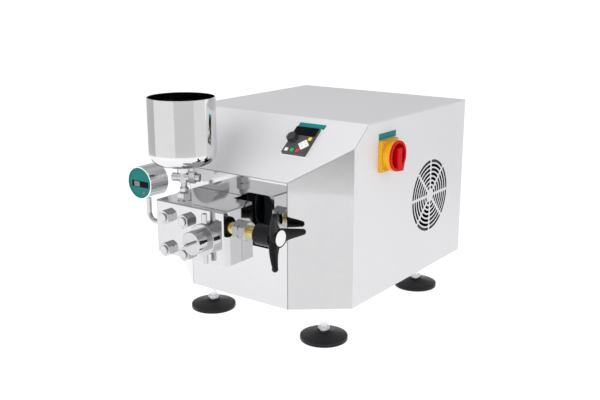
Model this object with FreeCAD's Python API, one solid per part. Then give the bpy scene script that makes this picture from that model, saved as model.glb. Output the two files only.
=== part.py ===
import FreeCAD, Part
import math
import os

# Bench high-pressure homogenizer, in millimetres, written as one solid group per sub-part.
# The model is laid out in the machine's own frame: X to the right, Y to the back from the
# front panel, Z up from the cabinet's underside. save() then moves it to the part's frame,
# whose origin is the middle of the footprint box, on the floor.

V = FreeCAD.Vector
X_AXIS = V(1, 0, 0)
Y_AXIS = V(0, 1, 0)
Z_AXIS = V(0, 0, 1)

# Cabinet
CASE_WIDTH = 430.0
CASE_DEPTH = 525.0
CASE_HEIGHT = 345.0
FRONT_WIDTH = 240.0
FRONT_HEIGHT = 246.0
CORNER_DEPTH = 76.0
CREASE_DEPTH = 122.5
SHEET = 2.0
TRAY_SHEET = 3.0
TRAY_LIP = 20.0
SEAT_GAP = 0.15
FOOT_HEIGHT = 82.0

# Fits and clearances
RUN_FIT = 0.05
SLIP_GAP = 0.3
BORE_FIT = 0.02

# Front window that the pump's distance piece comes through
WINDOW_RIGHT = 85.0
WINDOW_TOP = 214.5
WINDOW_BOTTOM = 112.0
WINDOW_CORNER = 12.0
WINDOW_STEP = 17.0

# Pump block
BLOCK_LEFT = -100.0
BLOCK_WIDTH = 165.0
BLOCK_DEPTH = 89.0
BLOCK_HEIGHT = 103.0
BLOCK_BOTTOM = 103.0
BLOCK_STANDOFF = 26.0
BLOCK_EDGE = 2.5
BLOCK_REAR_CORNER = 7.0
BLOCK_RIGHT = BLOCK_LEFT + BLOCK_WIDTH
BLOCK_TOP = BLOCK_BOTTOM + BLOCK_HEIGHT
BLOCK_BACK = -BLOCK_STANDOFF
BLOCK_FRONT = BLOCK_BACK - BLOCK_DEPTH

# Plunger and its line
PLUNGER_X = -45.0
PLUNGER_Z = 147.0
PLUNGER_RADIUS = 10.0
PLUNGER_TIP = 42.0
CHAMBER_RADIUS = 13.0
CHAMBER_END = 15.0
STROKE = 16.0
PACKING_RADIUS = 17.0
PACKING_RINGS = 5
PACKING_STEP = 4.0
PACKING_LEAN = 1.4
GLAND_NOSE = 8.0
GLAND_FLANGE = 10.0
GLAND_HEX = 42.0

# Distance piece between the block and the power end
ARM_WIDTH = 113.7
ARM_HEIGHT = 92.0
ARM_FLANGE = 14.0
ARM_BORE = 30.0
GLAND_HOLE = 26.0
DRIP_WIDTH = 40.0
DRIP_LENGTH = 44.0
ARM_LEFT = BLOCK_LEFT
ARM_RIGHT = ARM_LEFT + ARM_WIDTH
ARM_TOP = BLOCK_TOP
ARM_BOTTOM = ARM_TOP - ARM_HEIGHT

# Studs and nuts that clamp the block
STUD_RADIUS = 8.0
STUD_SPREAD_X = 24.0
STUD_SPREAD_Z = 31.0
STUD_PROUD = 3.0
NUT_FLATS = 24.0
NUT_THICK = 12.0

# Power end: crankcase, crank and crosshead
CRANK_Y = 205.0
ROD_LENGTH = 85.0
CASE_HALF_WIDTH = 55.0
CASE_HALF_HEIGHT = 62.0
CASE_FRONT = 66.0
CASE_BACK = 268.0
CASE_SIDE_WALL = 15.0
CASE_FLOOR_WALL = 8.0
CHAMBER_FRONT_Y = 162.0
CASE_LID = 8.0
CROSSHEAD_RADIUS = 28.0
CROSSHEAD_FRONT = 88.0
CROSSHEAD_LENGTH = 62.0
CROSSHEAD_WALL = 6.0
CROSSHEAD_CROWN = 10.0
COUPLING_RADIUS = 17.0
COUPLING_LENGTH = 14.0
JOURNAL_RADIUS = 12.5
ECCENTRIC_RADIUS = 22.0
ECCENTRIC_WIDTH = 24.0
BIG_END_RADIUS = 30.0
BIG_END_WIDTH = 22.0
SMALL_END_RADIUS = 11.0
SMALL_END_WIDTH = 16.0
WRIST_PIN_RADIUS = 5.0
WRIST_PIN_LENGTH = 30.0
SHANK_HEIGHT = 14.0
SHANK_WIDTH = 12.0
BEARING_RADIUS = 23.5
BEARING_WIDTH = 12.0
SHAFT_END = 102.0
LEG_WALL = 8.0
THROW = STROKE / 2
PIN_Y = CRANK_Y + THROW
WRIST_Y = PIN_Y - ROD_LENGTH
CRANK_Z = PLUNGER_Z
CASE_TOP = PLUNGER_Z + CASE_HALF_HEIGHT
CASE_BOTTOM = PLUNGER_Z - CASE_HALF_HEIGHT

# Belt drive and motor
PULLEY_LEFT = 72.0
PULLEY_WIDTH = 26.0
PULLEY_LIP = 3.0
CRANK_PULLEY_RADIUS = 90.0
MOTOR_PULLEY_RADIUS = 30.0
PULLEY_WEB = 8.0
PULLEY_RIM = 10.0
PULLEY_HUB_RADIUS = 24.0
PULLEY_HOLE_RADIUS = 16.0
BELT_THICK = 5.0
BELT_WIDTH = 18.0
MOTOR_Y = 400.0
MOTOR_Z = 112.0
MOTOR_RADIUS = 62.0
MOTOR_LEFT = -130.0
MOTOR_LENGTH = 180.0
MOTOR_BELL = 22.0
MOTOR_FINS = 20
MOTOR_FIN_HALF = 1.0
MOTOR_FIN_ROOT = 2.0
MOTOR_FIN_HEIGHT = 5.0
MOTOR_FOOT_WIDTH = 104.0
MOTOR_FOOT_LENGTH = 90.0
MOTOR_SHAFT_RADIUS = 9.5
MOTOR_SHAFT_DEPTH = 40.0

# Drive electronics inside
DRIVE_WALL_GAP = 7.0
DRIVE_WIDTH = 80.0
DRIVE_FRONT = 110.0
DRIVE_DEPTH = 140.0
DRIVE_HEIGHT = 160.0
DRIVE_FIN = 4.0

# Exhaust fan behind the right-hand wall
FAN_Y = 375.0
FAN_Z = 159.0
FAN_SIZE = 156.0
FAN_DEPTH = 38.0
FAN_DUCT_RADIUS = 71.0
FAN_HUB_RADIUS = 30.0
FAN_HUB_DEPTH = 24.0
FAN_TIP_RADIUS = 68.0
FAN_BLADES = 7
FAN_BLADE_THICK = 2.0
FAN_BLADE_CHORD = 26.0
FAN_BLADE_PITCH = 38.0
FAN_STRUT = 7.0
FAN_STRUT_DEPTH = 5.0
FAN_AXLE_RADIUS = 3.0
VENT_RINGS = 7
VENT_SECTORS = 8
VENT_FIRST_RADIUS = 17.5
VENT_PITCH = 9.3
VENT_SLOT = 6.0
VENT_SPOKE = 4.6

# Levelling feet
FOOT_X = 144.0
FOOT_FRONT_Y = 86.0
FOOT_BACK_Y = 457.0
PAD_RADIUS = 47.0
PAD_RIM = 8.5
PAD_CONE_RADIUS = 15.0
PAD_HEIGHT = 19.0
COLLAR_FLATS = 20.0
COLLAR_HEIGHT = 8.0
STEM_RADIUS = 8.0
STEM_ABOVE_TRAY = 16.0
FOOT_NUT_FLATS = 24.0
FOOT_NUT_THICK = 8.0
FOOT_WASHER_RADIUS = 17.0
FOOT_WASHER_THICK = 2.0

# Outlet on the block's front face
OUTLET_X = 32.0
OUTLET_Z = 155.5
OUTLET_DISC_RADIUS = 29.0
OUTLET_DISC_THICK = 20.0
OUTLET_BARREL_RADIUS = 21.0
OUTLET_BARREL_LENGTH = 28.0
NOZZLE_RADIUS = 3.0
NOZZLE_BORE = 1.5
NOZZLE_LENGTH = 14.0
OUTLET_BORE = 5.0
CLAMP_SCREW_RADIUS = 5.0
CLAMP_SCREW_PROUD = 17.0
CLAMP_SCREW_SINK = 7.0
CLAMP_SCREW_SETBACK = 11.0
CLAMP_SCREW_SOCKET = 5.0
CLAMP_SCREW_SPOT = 0.6
HOUSING_EDGE = 1.0

# Homogenizing valve on the block's right face
VALVE_Y = -58.0
VALVE_Z = 160.5
VALVE_CHAMBER_RADIUS = 15.0
VALVE_CHAMBER_DEPTH = 45.0
VALVE_FEED_RADIUS = 4.0
VALVE_NUT_FLATS = 34.0
VALVE_NUT_THICK = 14.0
VALVE_NUT_STUB = 20.0
ROD_RADIUS = 6.0
VALVE_SEAT_THICK = 9.0
VALVE_HEAD_RADIUS = 9.0
VALVE_HEAD_THICK = 8.0
VALVE_GAP = 3.3
IMPACT_RING_BORE = 10.5
SPINDLE_RADIUS = 11.3
SPINDLE_LENGTH = 26.0
HUB_START = 35.0
HUB_RADIUS = 19.8
HUB_LENGTH = 35.0
HUB_WALL = 9.0
BOSS_RADIUS = 17.4
BOSS_LENGTH = 14.0
ARM_COUNT = 3
ARM_TIP_REACH = 55.0
ARM_TIP_RADIUS = 5.8
ARM_SWEEP = 18.0
HANDLE_TRAVEL = 3.0
SPRING_COLLAR = 10.5
DISC_PAIRS = 3
DISC_THICK = 1.5

# Inlet line above the block
INLET_X = -54.0
INLET_Y = -85.0
INLET_HEX_FLATS = 24.0
INLET_HEX_HEIGHT = 13.5
INLET_STUB_RADIUS = 9.0
INLET_STUB = 10.0
INLET_BORE = 4.0
UNION_RADIUS = 8.5
UNION_HEIGHT = 12.5
NECK_RADIUS = 5.5
NECK_HEIGHT = 7.0
TEE_RADIUS = 8.5
TEE_HEIGHT = 19.0
TEE_TURN = 25.0
TEE_PLUG_RADIUS = 7.8
TEE_PLUG_LENGTH = 22.0
TEE_NUT_FLATS = 20.0
TEE_NUT_START = 11.0
TEE_NUT_THICK = 12.0
TEE_END_RADIUS = 7.8
TEE_END_LENGTH = 8.0
HOPPER_RADIUS = 62.0
HOPPER_HEIGHT = 139.0
HOPPER_WALL = 1.5
HOPPER_STUB_RADIUS = 12.0
HOPPER_STUB_HEIGHT = 9.0
HOPPER_DISH = 9.0
HOPPER_KNUCKLE = 26.0

# Check valves inside the block
CHECK_BORE = 6.0
CHECK_SEAT_BORE = 3.2
CHECK_SEAT_THICK = 5.0
CHECK_SEAT_BITE = 0.3
BALL_RADIUS = 4.5
SUCTION_PASSAGE = 3.0
SPRING_LENGTH = 15.0
CHECK_SPRING_BORE = 3.4
CHECK_SPRING_PAIRS = 5
CHECK_SPRING_THICK = 0.9

# Pressure gauge on the block's left face
GAUGE_X = -145.0
GAUGE_Z = 229.0
GAUGE_FRONT = -111.0
GAUGE_LENGTH = 45.0
GAUGE_RADIUS = 31.5
GAUGE_BEZEL = 2.0
GAUGE_FACE_RADIUS = 29.0
GAUGE_FACE_THICK = 1.5
GAUGE_PIPE_RADIUS = 5.0
GAUGE_PIPE_BORE = 2.0
GAUGE_PIPE_Z = 152.0
GAUGE_PIPE_BEND = 16.0
GAUGE_PIPE_SINK = 10.0
DISPLAY_WIDTH = 38.0
DISPLAY_HEIGHT = 10.0
DISPLAY_DROP = 2.5
DISPLAY_DEPTH = 1.0

# Operator keypad on the sloped panel, placed along the slope from its lower edge
PAD_X = 98.5
PAD_SLOPE = 95.5
PAD_WIDTH = 54.0
PAD_LENGTH = 67.0
PAD_THICK = 6.0
PAD_CORNER = 2.0
PAD_POCKET = 2.0
SCREEN_WIDTH = 48.0
SCREEN_LENGTH = 18.0
SCREEN_DEPTH = 1.0
SCREEN_UP = 20.5
KNOB_RIGHT = -17.0
KNOB_UP = 0.5
KNOB_RADIUS = 10.5
KNOB_HEIGHT = 11.0
KNOB_POST = 3.0
KEY_SIZE = 7.0
KEY_PROUD = 1.4
KEY_TRAVEL = 0.8
KEY_FIT = 0.1
NAV_HALF = 12.5
NAV_RIGHT = 13.0
NAV_UP = -10.0
KEY_ROW_UP = -25.5
KEY_ROW_START = -17.8
KEY_ROW_STEP = 12.7
YELLOW_RIGHT = 19.4
YELLOW_UP = 5.0

# Isolator switch on the right-hand wall
SWITCH_Y = 189.0
SWITCH_Z = 278.0
SWITCH_PLATE = 60.0
SWITCH_PLATE_THICK = 8.0
SWITCH_BASE_RADIUS = 28.0
SWITCH_BASE_TOP = 30.0
SWITCH_BASE_HEIGHT = 15.0
SWITCH_BASE_EDGE = 1.0
SWITCH_CUP_RADIUS = 26.5
SWITCH_CUP_DEPTH = 10.0
SWITCH_CUP_WALL = 2.0
SWITCH_RIM_RADIUS = 29.5
SWITCH_RIM_THICK = 3.5
SWITCH_TOE_FRONT = -4.0
SWITCH_TOE_BACK = 20.0
SWITCH_TOE_DROP = 31.5
SWITCH_GRIP_WIDTH = 18.0
SWITCH_GRIP_SHIFT = 7.0
SWITCH_GRIP_TOP = 15.0
SWITCH_SHAFT_RADIUS = 4.0
SWITCH_SHAFT_REACH = 10.0
SWITCH_SHAFT_SINK = 1.0

# Rear panel fittings
GLAND_SIDE = 65.0
GLAND_X = GLAND_SIDE - CASE_WIDTH / 2
GLAND_Z = 60.0
CABLE_GLAND_FLATS = 24.0
CABLE_GLAND_HEX = 6.0
CABLE_GLAND_DOME = 16.0
CABLE_GLAND_RADIUS = 11.0
CABLE_GLAND_BORE = 4.5
CABLE_NUT_THICK = 5.0
CABLE_THREAD_RADIUS = 10.0

# Values worked out from the sizes above
SLOPE_RISE = CASE_HEIGHT - FRONT_HEIGHT
DRIVE_LEFT = SHEET + DRIVE_WALL_GAP - CASE_WIDTH / 2
SLOPE_ANGLE = math.degrees(math.atan2(SLOPE_RISE, CREASE_DEPTH))
OUTLET_TIP = BLOCK_FRONT - OUTLET_DISC_THICK - OUTLET_BARREL_LENGTH - NOZZLE_LENGTH
REAR_REACH = CASE_DEPTH + CABLE_GLAND_HEX + CABLE_GLAND_DOME
SWITCH_FACE = CASE_WIDTH / 2 + SWITCH_PLATE_THICK + SWITCH_BASE_HEIGHT
RIGHT_REACH = SWITCH_FACE + SLIP_GAP + SWITCH_RIM_THICK
ORIGIN = V((RIGHT_REACH - CASE_WIDTH / 2) / 2, (OUTLET_TIP + REAR_REACH) / 2, -FOOT_HEIGHT)


def save(name, shape):
    """Write one sub-part, moved from the machine's frame to the part's frame."""
    moved = shape.copy()
    moved.translate(-ORIGIN)
    moved.exportStep("parts/" + name + ".step")


def turned(shape, start, axis):
    """Place a shape that was built up the Z axis so that it runs from start along axis."""
    placed = shape.copy()
    placed.Placement = FreeCAD.Placement(start, FreeCAD.Rotation(Z_AXIS, axis)).multiply(shape.Placement)
    return placed


def box(x0, x1, y0, y1, z0, z1):
    return Part.makeBox(x1 - x0, y1 - y0, z1 - z0, V(x0, y0, z0))


def cylinder(radius, length, start, axis):
    return Part.makeCylinder(radius, length, start, axis)


def tube(outer, inner, length, start, axis):
    return cylinder(outer, length, start, axis).cut(cylinder(inner, length, start, axis))


def hexagon(flats, length, start, axis, turn=0.0):
    """Hexagonal prism, with its size given across the flats."""
    corner = flats / math.sqrt(3)
    points = []
    for index in range(7):
        angle = math.radians(60 * index + turn)
        points.append(V(corner * math.cos(angle), corner * math.sin(angle), 0))
    prism = Part.Face(Part.makePolygon(points)).extrude(V(0, 0, length))
    return turned(prism, start, axis)


def hex_nut(flats, bore, length, start, axis, turn=0.0):
    """Hexagon nut with both its ends chamfered by a cone, as turned nuts are."""
    corner = flats / math.sqrt(3)
    rise = (corner - flats / 2) * 0.8
    profile = [V(bore, 0, 0), V(flats / 2, 0, 0), V(corner, 0, rise), V(corner, 0, length - rise)]
    profile += [V(flats / 2, 0, length), V(bore, 0, length), V(bore, 0, 0)]
    turned_body = Part.Face(Part.makePolygon(profile)).revolve(V(0, 0, 0), Z_AXIS, 360)
    nut = hexagon(flats, length, V(0, 0, 0), Z_AXIS, turn).common(turned_body)
    return turned(nut, start, axis)


def lathe(profile, start, axis):
    """Turn a closed outline of (radius, height) points about an axis."""
    points = [V(radius, 0, height) for radius, height in profile]
    points.append(points[0])
    solid = Part.Face(Part.makePolygon(points)).revolve(V(0, 0, 0), Z_AXIS, 360)
    return turned(solid, start, axis)


def column(points, z0, z1):
    """Upright prism over a plan outline."""
    corners = [V(x, y, z0) for x, y in points]
    corners.append(corners[0])
    return Part.Face(Part.makePolygon(corners)).extrude(V(0, 0, z1 - z0))


def side_prism(points, x0, x1):
    """Prism along X over an outline of (y, z) points."""
    corners = [V(x0, y, z) for y, z in points]
    corners.append(corners[0])
    return Part.Face(Part.makePolygon(corners)).extrude(V(x1 - x0, 0, 0))


def inset(points, distance):
    """Plan outline moved inwards by a distance; the points run counter-clockwise."""
    moved = []
    count = len(points)
    for index in range(count):
        before = points[index - 1]
        here = points[index]
        after = points[(index + 1) % count]
        first = inward(before, here)
        second = inward(here, after)
        share = distance / (1 + first[0] * second[0] + first[1] * second[1])
        moved.append((here[0] + (first[0] + second[0]) * share, here[1] + (first[1] + second[1]) * share))
    return moved


def inward(start, end):
    """Unit normal that points to the left of a plan edge."""
    run = math.hypot(end[0] - start[0], end[1] - start[1])
    return (-(end[1] - start[1]) / run, (end[0] - start[0]) / run)


def edges_along(shape, axis, test):
    """Straight edges of a shape that run along an axis and pass a test on their middle."""
    chosen = []
    for edge in shape.Edges:
        if not isinstance(edge.Curve, (Part.Line, Part.LineSegment)):
            continue
        if abs(abs(edge.tangentAt(edge.FirstParameter).dot(axis)) - 1) < 1e-6:
            if test(edge.CenterOfMass):
                chosen.append(edge)
    return chosen


def cut_all(shape, tools):
    return shape.cut(Part.Compound(tools))


# Cabinet


def plan():
    half = CASE_WIDTH / 2
    front = FRONT_WIDTH / 2
    return [(-front, 0), (front, 0), (half, CORNER_DEPTH), (half, CASE_DEPTH), (-half, CASE_DEPTH),
            (-half, CORNER_DEPTH)]


def under_roof(drop):
    """Space below the sloped panel and the top, moved in by a sheet's thickness."""
    margin = 30.0
    angle = math.radians(SLOPE_ANGLE)
    slope_in = (math.sin(angle), -math.cos(angle))
    share = drop / (1 - slope_in[1])
    front_y = -margin
    front_z = FRONT_HEIGHT - margin * SLOPE_RISE / CREASE_DEPTH
    outline = [(front_y + slope_in[0] * drop, front_z + slope_in[1] * drop)]
    outline.append((CREASE_DEPTH + slope_in[0] * share, CASE_HEIGHT + (slope_in[1] - 1) * share))
    outline.append((CASE_DEPTH + margin, CASE_HEIGHT - drop))
    outline.append((CASE_DEPTH + margin, -margin))
    outline.append((front_y + slope_in[0] * drop, -margin))
    return side_prism(outline, -CASE_WIDTH / 2 - margin, CASE_WIDTH / 2 + margin)


def roof():
    block = column(plan(), 0, CASE_HEIGHT + 1)
    return block.common(under_roof(0)).cut(under_roof(SHEET))


def wall(index):
    """One upright panel of the cabinet, mitred to its neighbours and under the roof."""
    outer = plan()
    inner = inset(outer, SHEET)
    after = (index + 1) % len(outer)
    panel = column([outer[index], outer[after], inner[after], inner[index]], 0, CASE_HEIGHT)
    return panel.common(under_roof(SHEET))


def front_panel():
    """Front sheet with its two bent corner facets, and the window for the distance piece."""
    left = ARM_LEFT - SLIP_GAP
    step_x = ARM_RIGHT + SLIP_GAP
    step_z = ARM_TOP + SLIP_GAP
    outline = [(left, WINDOW_BOTTOM), (WINDOW_RIGHT, WINDOW_BOTTOM), (WINDOW_RIGHT, WINDOW_TOP),
               (step_x + WINDOW_STEP, WINDOW_TOP), (step_x, step_z), (left, step_z)]
    corners = [V(x, -SHEET, z) for x, z in outline]
    corners.append(corners[0])
    opening = Part.Face(Part.makePolygon(corners)).extrude(V(0, SHEET * 3, 0))
    rounded = edges_along(opening, Y_AXIS, lambda p: p.x > WINDOW_RIGHT - 1)
    opening = opening.makeFillet(WINDOW_CORNER, rounded)
    return wall(0).fuse([wall(1), wall(5)]).removeSplitter().cut(opening)


def vent_slot(radius, middle):
    """One curved slot of the fan grille: an arc of constant width with round ends."""
    half = VENT_SLOT / 2
    margin = math.asin((VENT_SPOKE / 2 + half) / radius)
    span = math.pi / VENT_SECTORS - margin

    def at(distance, angle):
        return V(0, distance * math.cos(middle + angle), distance * math.sin(middle + angle))

    def end_cap(angle, sign):
        along = V(0, -math.sin(middle + angle), math.cos(middle + angle))
        return at(radius, angle) + along * (half * sign)

    outer = Part.Arc(at(radius + half, -span), at(radius + half, 0), at(radius + half, span))
    far_end = Part.Arc(at(radius + half, span), end_cap(span, 1), at(radius - half, span))
    inner = Part.Arc(at(radius - half, span), at(radius - half, 0), at(radius - half, -span))
    near_end = Part.Arc(at(radius - half, -span), end_cap(-span, -1), at(radius + half, -span))
    outline = Part.Wire([outer.toShape(), far_end.toShape(), inner.toShape(), near_end.toShape()])
    slot = Part.Face(outline).extrude(V(SHEET * 3, 0, 0))
    slot.translate(V(CASE_WIDTH / 2 - SHEET * 2, FAN_Y, FAN_Z))
    return slot


def side_panels():
    """Both side sheets; the right one has the fan's ring grille and the switch's shaft hole."""
    slots = []
    for ring in range(VENT_RINGS):
        radius = VENT_FIRST_RADIUS + VENT_PITCH * ring
        for sector in range(VENT_SECTORS):
            slots.append(vent_slot(radius, math.pi * (2 * sector + 1) / VENT_SECTORS))
    hole_start = V(CASE_WIDTH / 2 - SHEET * 2, SWITCH_Y, SWITCH_Z)
    slots.append(cylinder(SWITCH_SHAFT_RADIUS + SLIP_GAP, SHEET * 3, hole_start, X_AXIS))
    return Part.Compound([cut_all(wall(2), slots), wall(4)])


def rear_panel():
    start = V(GLAND_X, CASE_DEPTH - SHEET * 2, GLAND_Z)
    return wall(3).cut(cylinder(CABLE_THREAD_RADIUS + SEAT_GAP, SHEET * 3, start, Y_AXIS))


def foot_places():
    return [(x, y) for x in (-FOOT_X, FOOT_X) for y in (FOOT_FRONT_Y, FOOT_BACK_Y)]


def base_tray():
    outline = inset(plan(), SHEET + SEAT_GAP)
    tray = column(outline, 0, TRAY_LIP).cut(column(inset(outline, SHEET), TRAY_SHEET, TRAY_LIP + 1))
    holes = []
    for x, y in foot_places():
        holes.append(cylinder(STEM_RADIUS + SEAT_GAP, TRAY_SHEET * 3, V(x, y, -TRAY_SHEET), Z_AXIS))
    return cut_all(tray, holes)


# Levelling feet


def foot_pads():
    profile = [(0, 0), (PAD_RADIUS, 0), (PAD_RADIUS, PAD_RIM), (PAD_CONE_RADIUS, PAD_HEIGHT - 3),
               (PAD_CONE_RADIUS - 1, PAD_HEIGHT), (0, PAD_HEIGHT)]
    return Part.Compound([lathe(profile, V(x, y, -FOOT_HEIGHT), Z_AXIS) for x, y in foot_places()])


def foot_stems():
    stems = []
    for x, y in foot_places():
        base = -FOOT_HEIGHT + PAD_HEIGHT
        collar = hex_nut(COLLAR_FLATS, 0.0, COLLAR_HEIGHT, V(x, y, base), Z_AXIS, 30.0)
        top = TRAY_SHEET + STEM_ABOVE_TRAY
        stem = cylinder(STEM_RADIUS, top - base, V(x, y, base), Z_AXIS)
        stems.append(collar.fuse(stem))
    return Part.Compound(stems)


def foot_nuts():
    nuts = []
    bore = STEM_RADIUS + BORE_FIT
    for x, y in foot_places():
        under = -FOOT_WASHER_THICK - FOOT_NUT_THICK
        nuts.append(tube(FOOT_WASHER_RADIUS, bore, FOOT_WASHER_THICK, V(x, y, -FOOT_WASHER_THICK), Z_AXIS))
        nuts.append(hex_nut(FOOT_NUT_FLATS, bore, FOOT_NUT_THICK, V(x, y, under), Z_AXIS, 15.0))
        nuts.append(hex_nut(FOOT_NUT_FLATS, bore, FOOT_NUT_THICK, V(x, y, TRAY_SHEET), Z_AXIS, 15.0))
    return Part.Compound(nuts)


# Pump head


def stud_places():
    signs = (-1, 1)
    return [(PLUNGER_X + a * STUD_SPREAD_X, PLUNGER_Z + b * STUD_SPREAD_Z) for a in signs for b in signs]


def pump_block():
    block = box(BLOCK_LEFT, BLOCK_RIGHT, BLOCK_FRONT, BLOCK_BACK, BLOCK_BOTTOM, BLOCK_TOP)
    rear_corner = edges_along(block, Z_AXIS, lambda p: p.x > 0 and p.y > BLOCK_FRONT + 1)
    block = block.makeChamfer(BLOCK_REAR_CORNER, rear_corner)
    front = edges_along(block, X_AXIS, lambda p: p.y < BLOCK_FRONT + 1)
    front += edges_along(block, Z_AXIS, lambda p: p.y < BLOCK_FRONT + 1)
    front += edges_along(block, Y_AXIS, lambda p: p.z > BLOCK_BOTTOM + 1)
    block = block.makeChamfer(BLOCK_EDGE, front)
    for bore in pump_bores():
        block = block.cut(bore)
    return block


def pump_bores():
    """Everything that is drilled in the block, each bore from its open end inwards."""
    bores = []
    for x, z in stud_places():
        bores.append(cylinder(STUD_RADIUS + SEAT_GAP, BLOCK_DEPTH, V(x, BLOCK_FRONT, z), Y_AXIS))
    line = V(PLUNGER_X, BLOCK_BACK, PLUNGER_Z)
    bores.append(cylinder(PACKING_RADIUS, packing_depth(), line, -Y_AXIS))
    bores.append(cylinder(CHAMBER_RADIUS, BLOCK_DEPTH - CHAMBER_END, line, -Y_AXIS))
    bores.append(cylinder(VALVE_CHAMBER_RADIUS, VALVE_CHAMBER_DEPTH, valve_at(0), -X_AXIS))
    check_start = V(delivery_start(), VALVE_Y, VALVE_Z)
    bores.append(cylinder(CHECK_BORE, check_length(), check_start, X_AXIS))
    bores.append(cylinder(VALVE_FEED_RADIUS, delivery_start() - PLUNGER_X, check_start, -X_AXIS))
    riser = V(PLUNGER_X, VALVE_Y, PLUNGER_Z)
    bores.append(cylinder(VALVE_FEED_RADIUS, VALVE_Z - PLUNGER_Z, riser, Z_AXIS))
    inlet = V(INLET_X, INLET_Y, BLOCK_TOP)
    bores.append(cylinder(INLET_STUB_RADIUS, INLET_STUB, inlet, -Z_AXIS))
    bores.append(cylinder(SUCTION_PASSAGE, BLOCK_TOP - PLUNGER_Z, inlet, -Z_AXIS))
    tapping = V(BLOCK_LEFT, gauge_pipe_y(), GAUGE_PIPE_Z)
    bores.append(cylinder(GAUGE_PIPE_RADIUS + BORE_FIT, GAUGE_PIPE_SINK, tapping, X_AXIS))
    bores.append(cylinder(GAUGE_PIPE_BORE, PLUNGER_X - BLOCK_LEFT, tapping, X_AXIS))
    bores.append(outlet_passage())
    return bores


def outlet_passage():
    return cylinder(OUTLET_BORE, VALVE_Y - BLOCK_FRONT, V(OUTLET_X, BLOCK_FRONT, OUTLET_Z), Y_AXIS)


def packing_depth():
    return GLAND_NOSE + PACKING_RINGS * PACKING_STEP + PACKING_LEAN


def gauge_pipe_y():
    return GAUGE_FRONT + GAUGE_LENGTH / 2


def block_studs():
    studs = []
    for x, z in stud_places():
        start = BLOCK_FRONT - NUT_THICK - STUD_PROUD
        studs.append(cylinder(STUD_RADIUS, BLOCK_BACK + ARM_FLANGE - start, V(x, start, z), Y_AXIS))
    return Part.Compound(studs)


def block_nuts():
    nuts = []
    for x, z in stud_places():
        start = V(x, BLOCK_FRONT - NUT_THICK, z)
        nuts.append(hex_nut(NUT_FLATS, STUD_RADIUS + BORE_FIT, NUT_THICK, start, Y_AXIS, 30.0))
    return Part.Compound(nuts)


def distance_piece():
    flange = box(ARM_LEFT, ARM_RIGHT, BLOCK_BACK, BLOCK_BACK + ARM_FLANGE, BLOCK_BOTTOM, BLOCK_TOP)
    arm = box(ARM_LEFT, ARM_RIGHT, BLOCK_BACK + ARM_FLANGE, CASE_FRONT, ARM_BOTTOM, ARM_TOP)
    body = flange.fuse(arm).removeSplitter()
    line = V(PLUNGER_X, BLOCK_BACK, PLUNGER_Z)
    cuts = [cylinder(GLAND_HOLE, ARM_FLANGE, line, Y_AXIS)]
    bore_length = CASE_FRONT - BLOCK_BACK - ARM_FLANGE
    cuts.append(cylinder(ARM_BORE, bore_length, line + V(0, ARM_FLANGE, 0), Y_AXIS))
    drip_y = (BLOCK_BACK + ARM_FLANGE + CASE_FRONT) / 2
    cuts.append(box(PLUNGER_X - DRIP_WIDTH / 2, PLUNGER_X + DRIP_WIDTH / 2, drip_y - DRIP_LENGTH / 2,
                    drip_y + DRIP_LENGTH / 2, ARM_BOTTOM, PLUNGER_Z))
    for x, z in stud_places():
        cuts.append(cylinder(STUD_RADIUS + BORE_FIT, ARM_FLANGE, V(x, BLOCK_BACK, z), Y_AXIS))
    for cut in cuts:
        body = body.cut(cut)
    return body


def plunger_packing():
    """Chevron rings round the plunger, as separate solids in one stack."""
    rings = []
    outer = PACKING_RADIUS - RUN_FIT
    inner = PLUNGER_RADIUS + RUN_FIT
    middle = (outer + inner) / 2
    for index in range(PACKING_RINGS):
        front = V(PLUNGER_X, BLOCK_BACK - GLAND_NOSE - index * PACKING_STEP, PLUNGER_Z)
        profile = [(inner, 0), (middle, PACKING_LEAN), (outer, 0), (outer, PACKING_STEP),
                   (middle, PACKING_STEP + PACKING_LEAN), (inner, PACKING_STEP)]
        rings.append(lathe(profile, front, -Y_AXIS))
    return Part.Compound(rings)


def gland_nut():
    bore = PLUNGER_RADIUS + RUN_FIT * 2
    face = V(PLUNGER_X, BLOCK_BACK, PLUNGER_Z)
    nose = tube(PACKING_RADIUS - RUN_FIT, bore, GLAND_NOSE, face, -Y_AXIS)
    return nose.fuse(hex_nut(GLAND_HEX, bore, GLAND_FLANGE, face, Y_AXIS, 30.0))


def plunger():
    tip_y = BLOCK_BACK - PLUNGER_TIP
    rod = cylinder(PLUNGER_RADIUS, CROSSHEAD_FRONT - tip_y, V(PLUNGER_X, tip_y, PLUNGER_Z), Y_AXIS)
    ends = [edge for edge in rod.Edges if edge.CenterOfMass.y < tip_y + 1]
    return rod.makeChamfer(1.0, ends)


def crosshead():
    start = V(PLUNGER_X, CROSSHEAD_FRONT, PLUNGER_Z)
    body = cylinder(CROSSHEAD_RADIUS, CROSSHEAD_LENGTH, start, Y_AXIS)
    inner_start = start + V(0, CROSSHEAD_CROWN, 0)
    cavity = cylinder(CROSSHEAD_RADIUS - CROSSHEAD_WALL, CROSSHEAD_LENGTH, inner_start, Y_AXIS)
    collar = tube(COUPLING_RADIUS, PLUNGER_RADIUS + BORE_FIT, COUPLING_LENGTH, start, -Y_AXIS)
    return body.cut(cavity).fuse(collar)


# Power end


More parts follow.
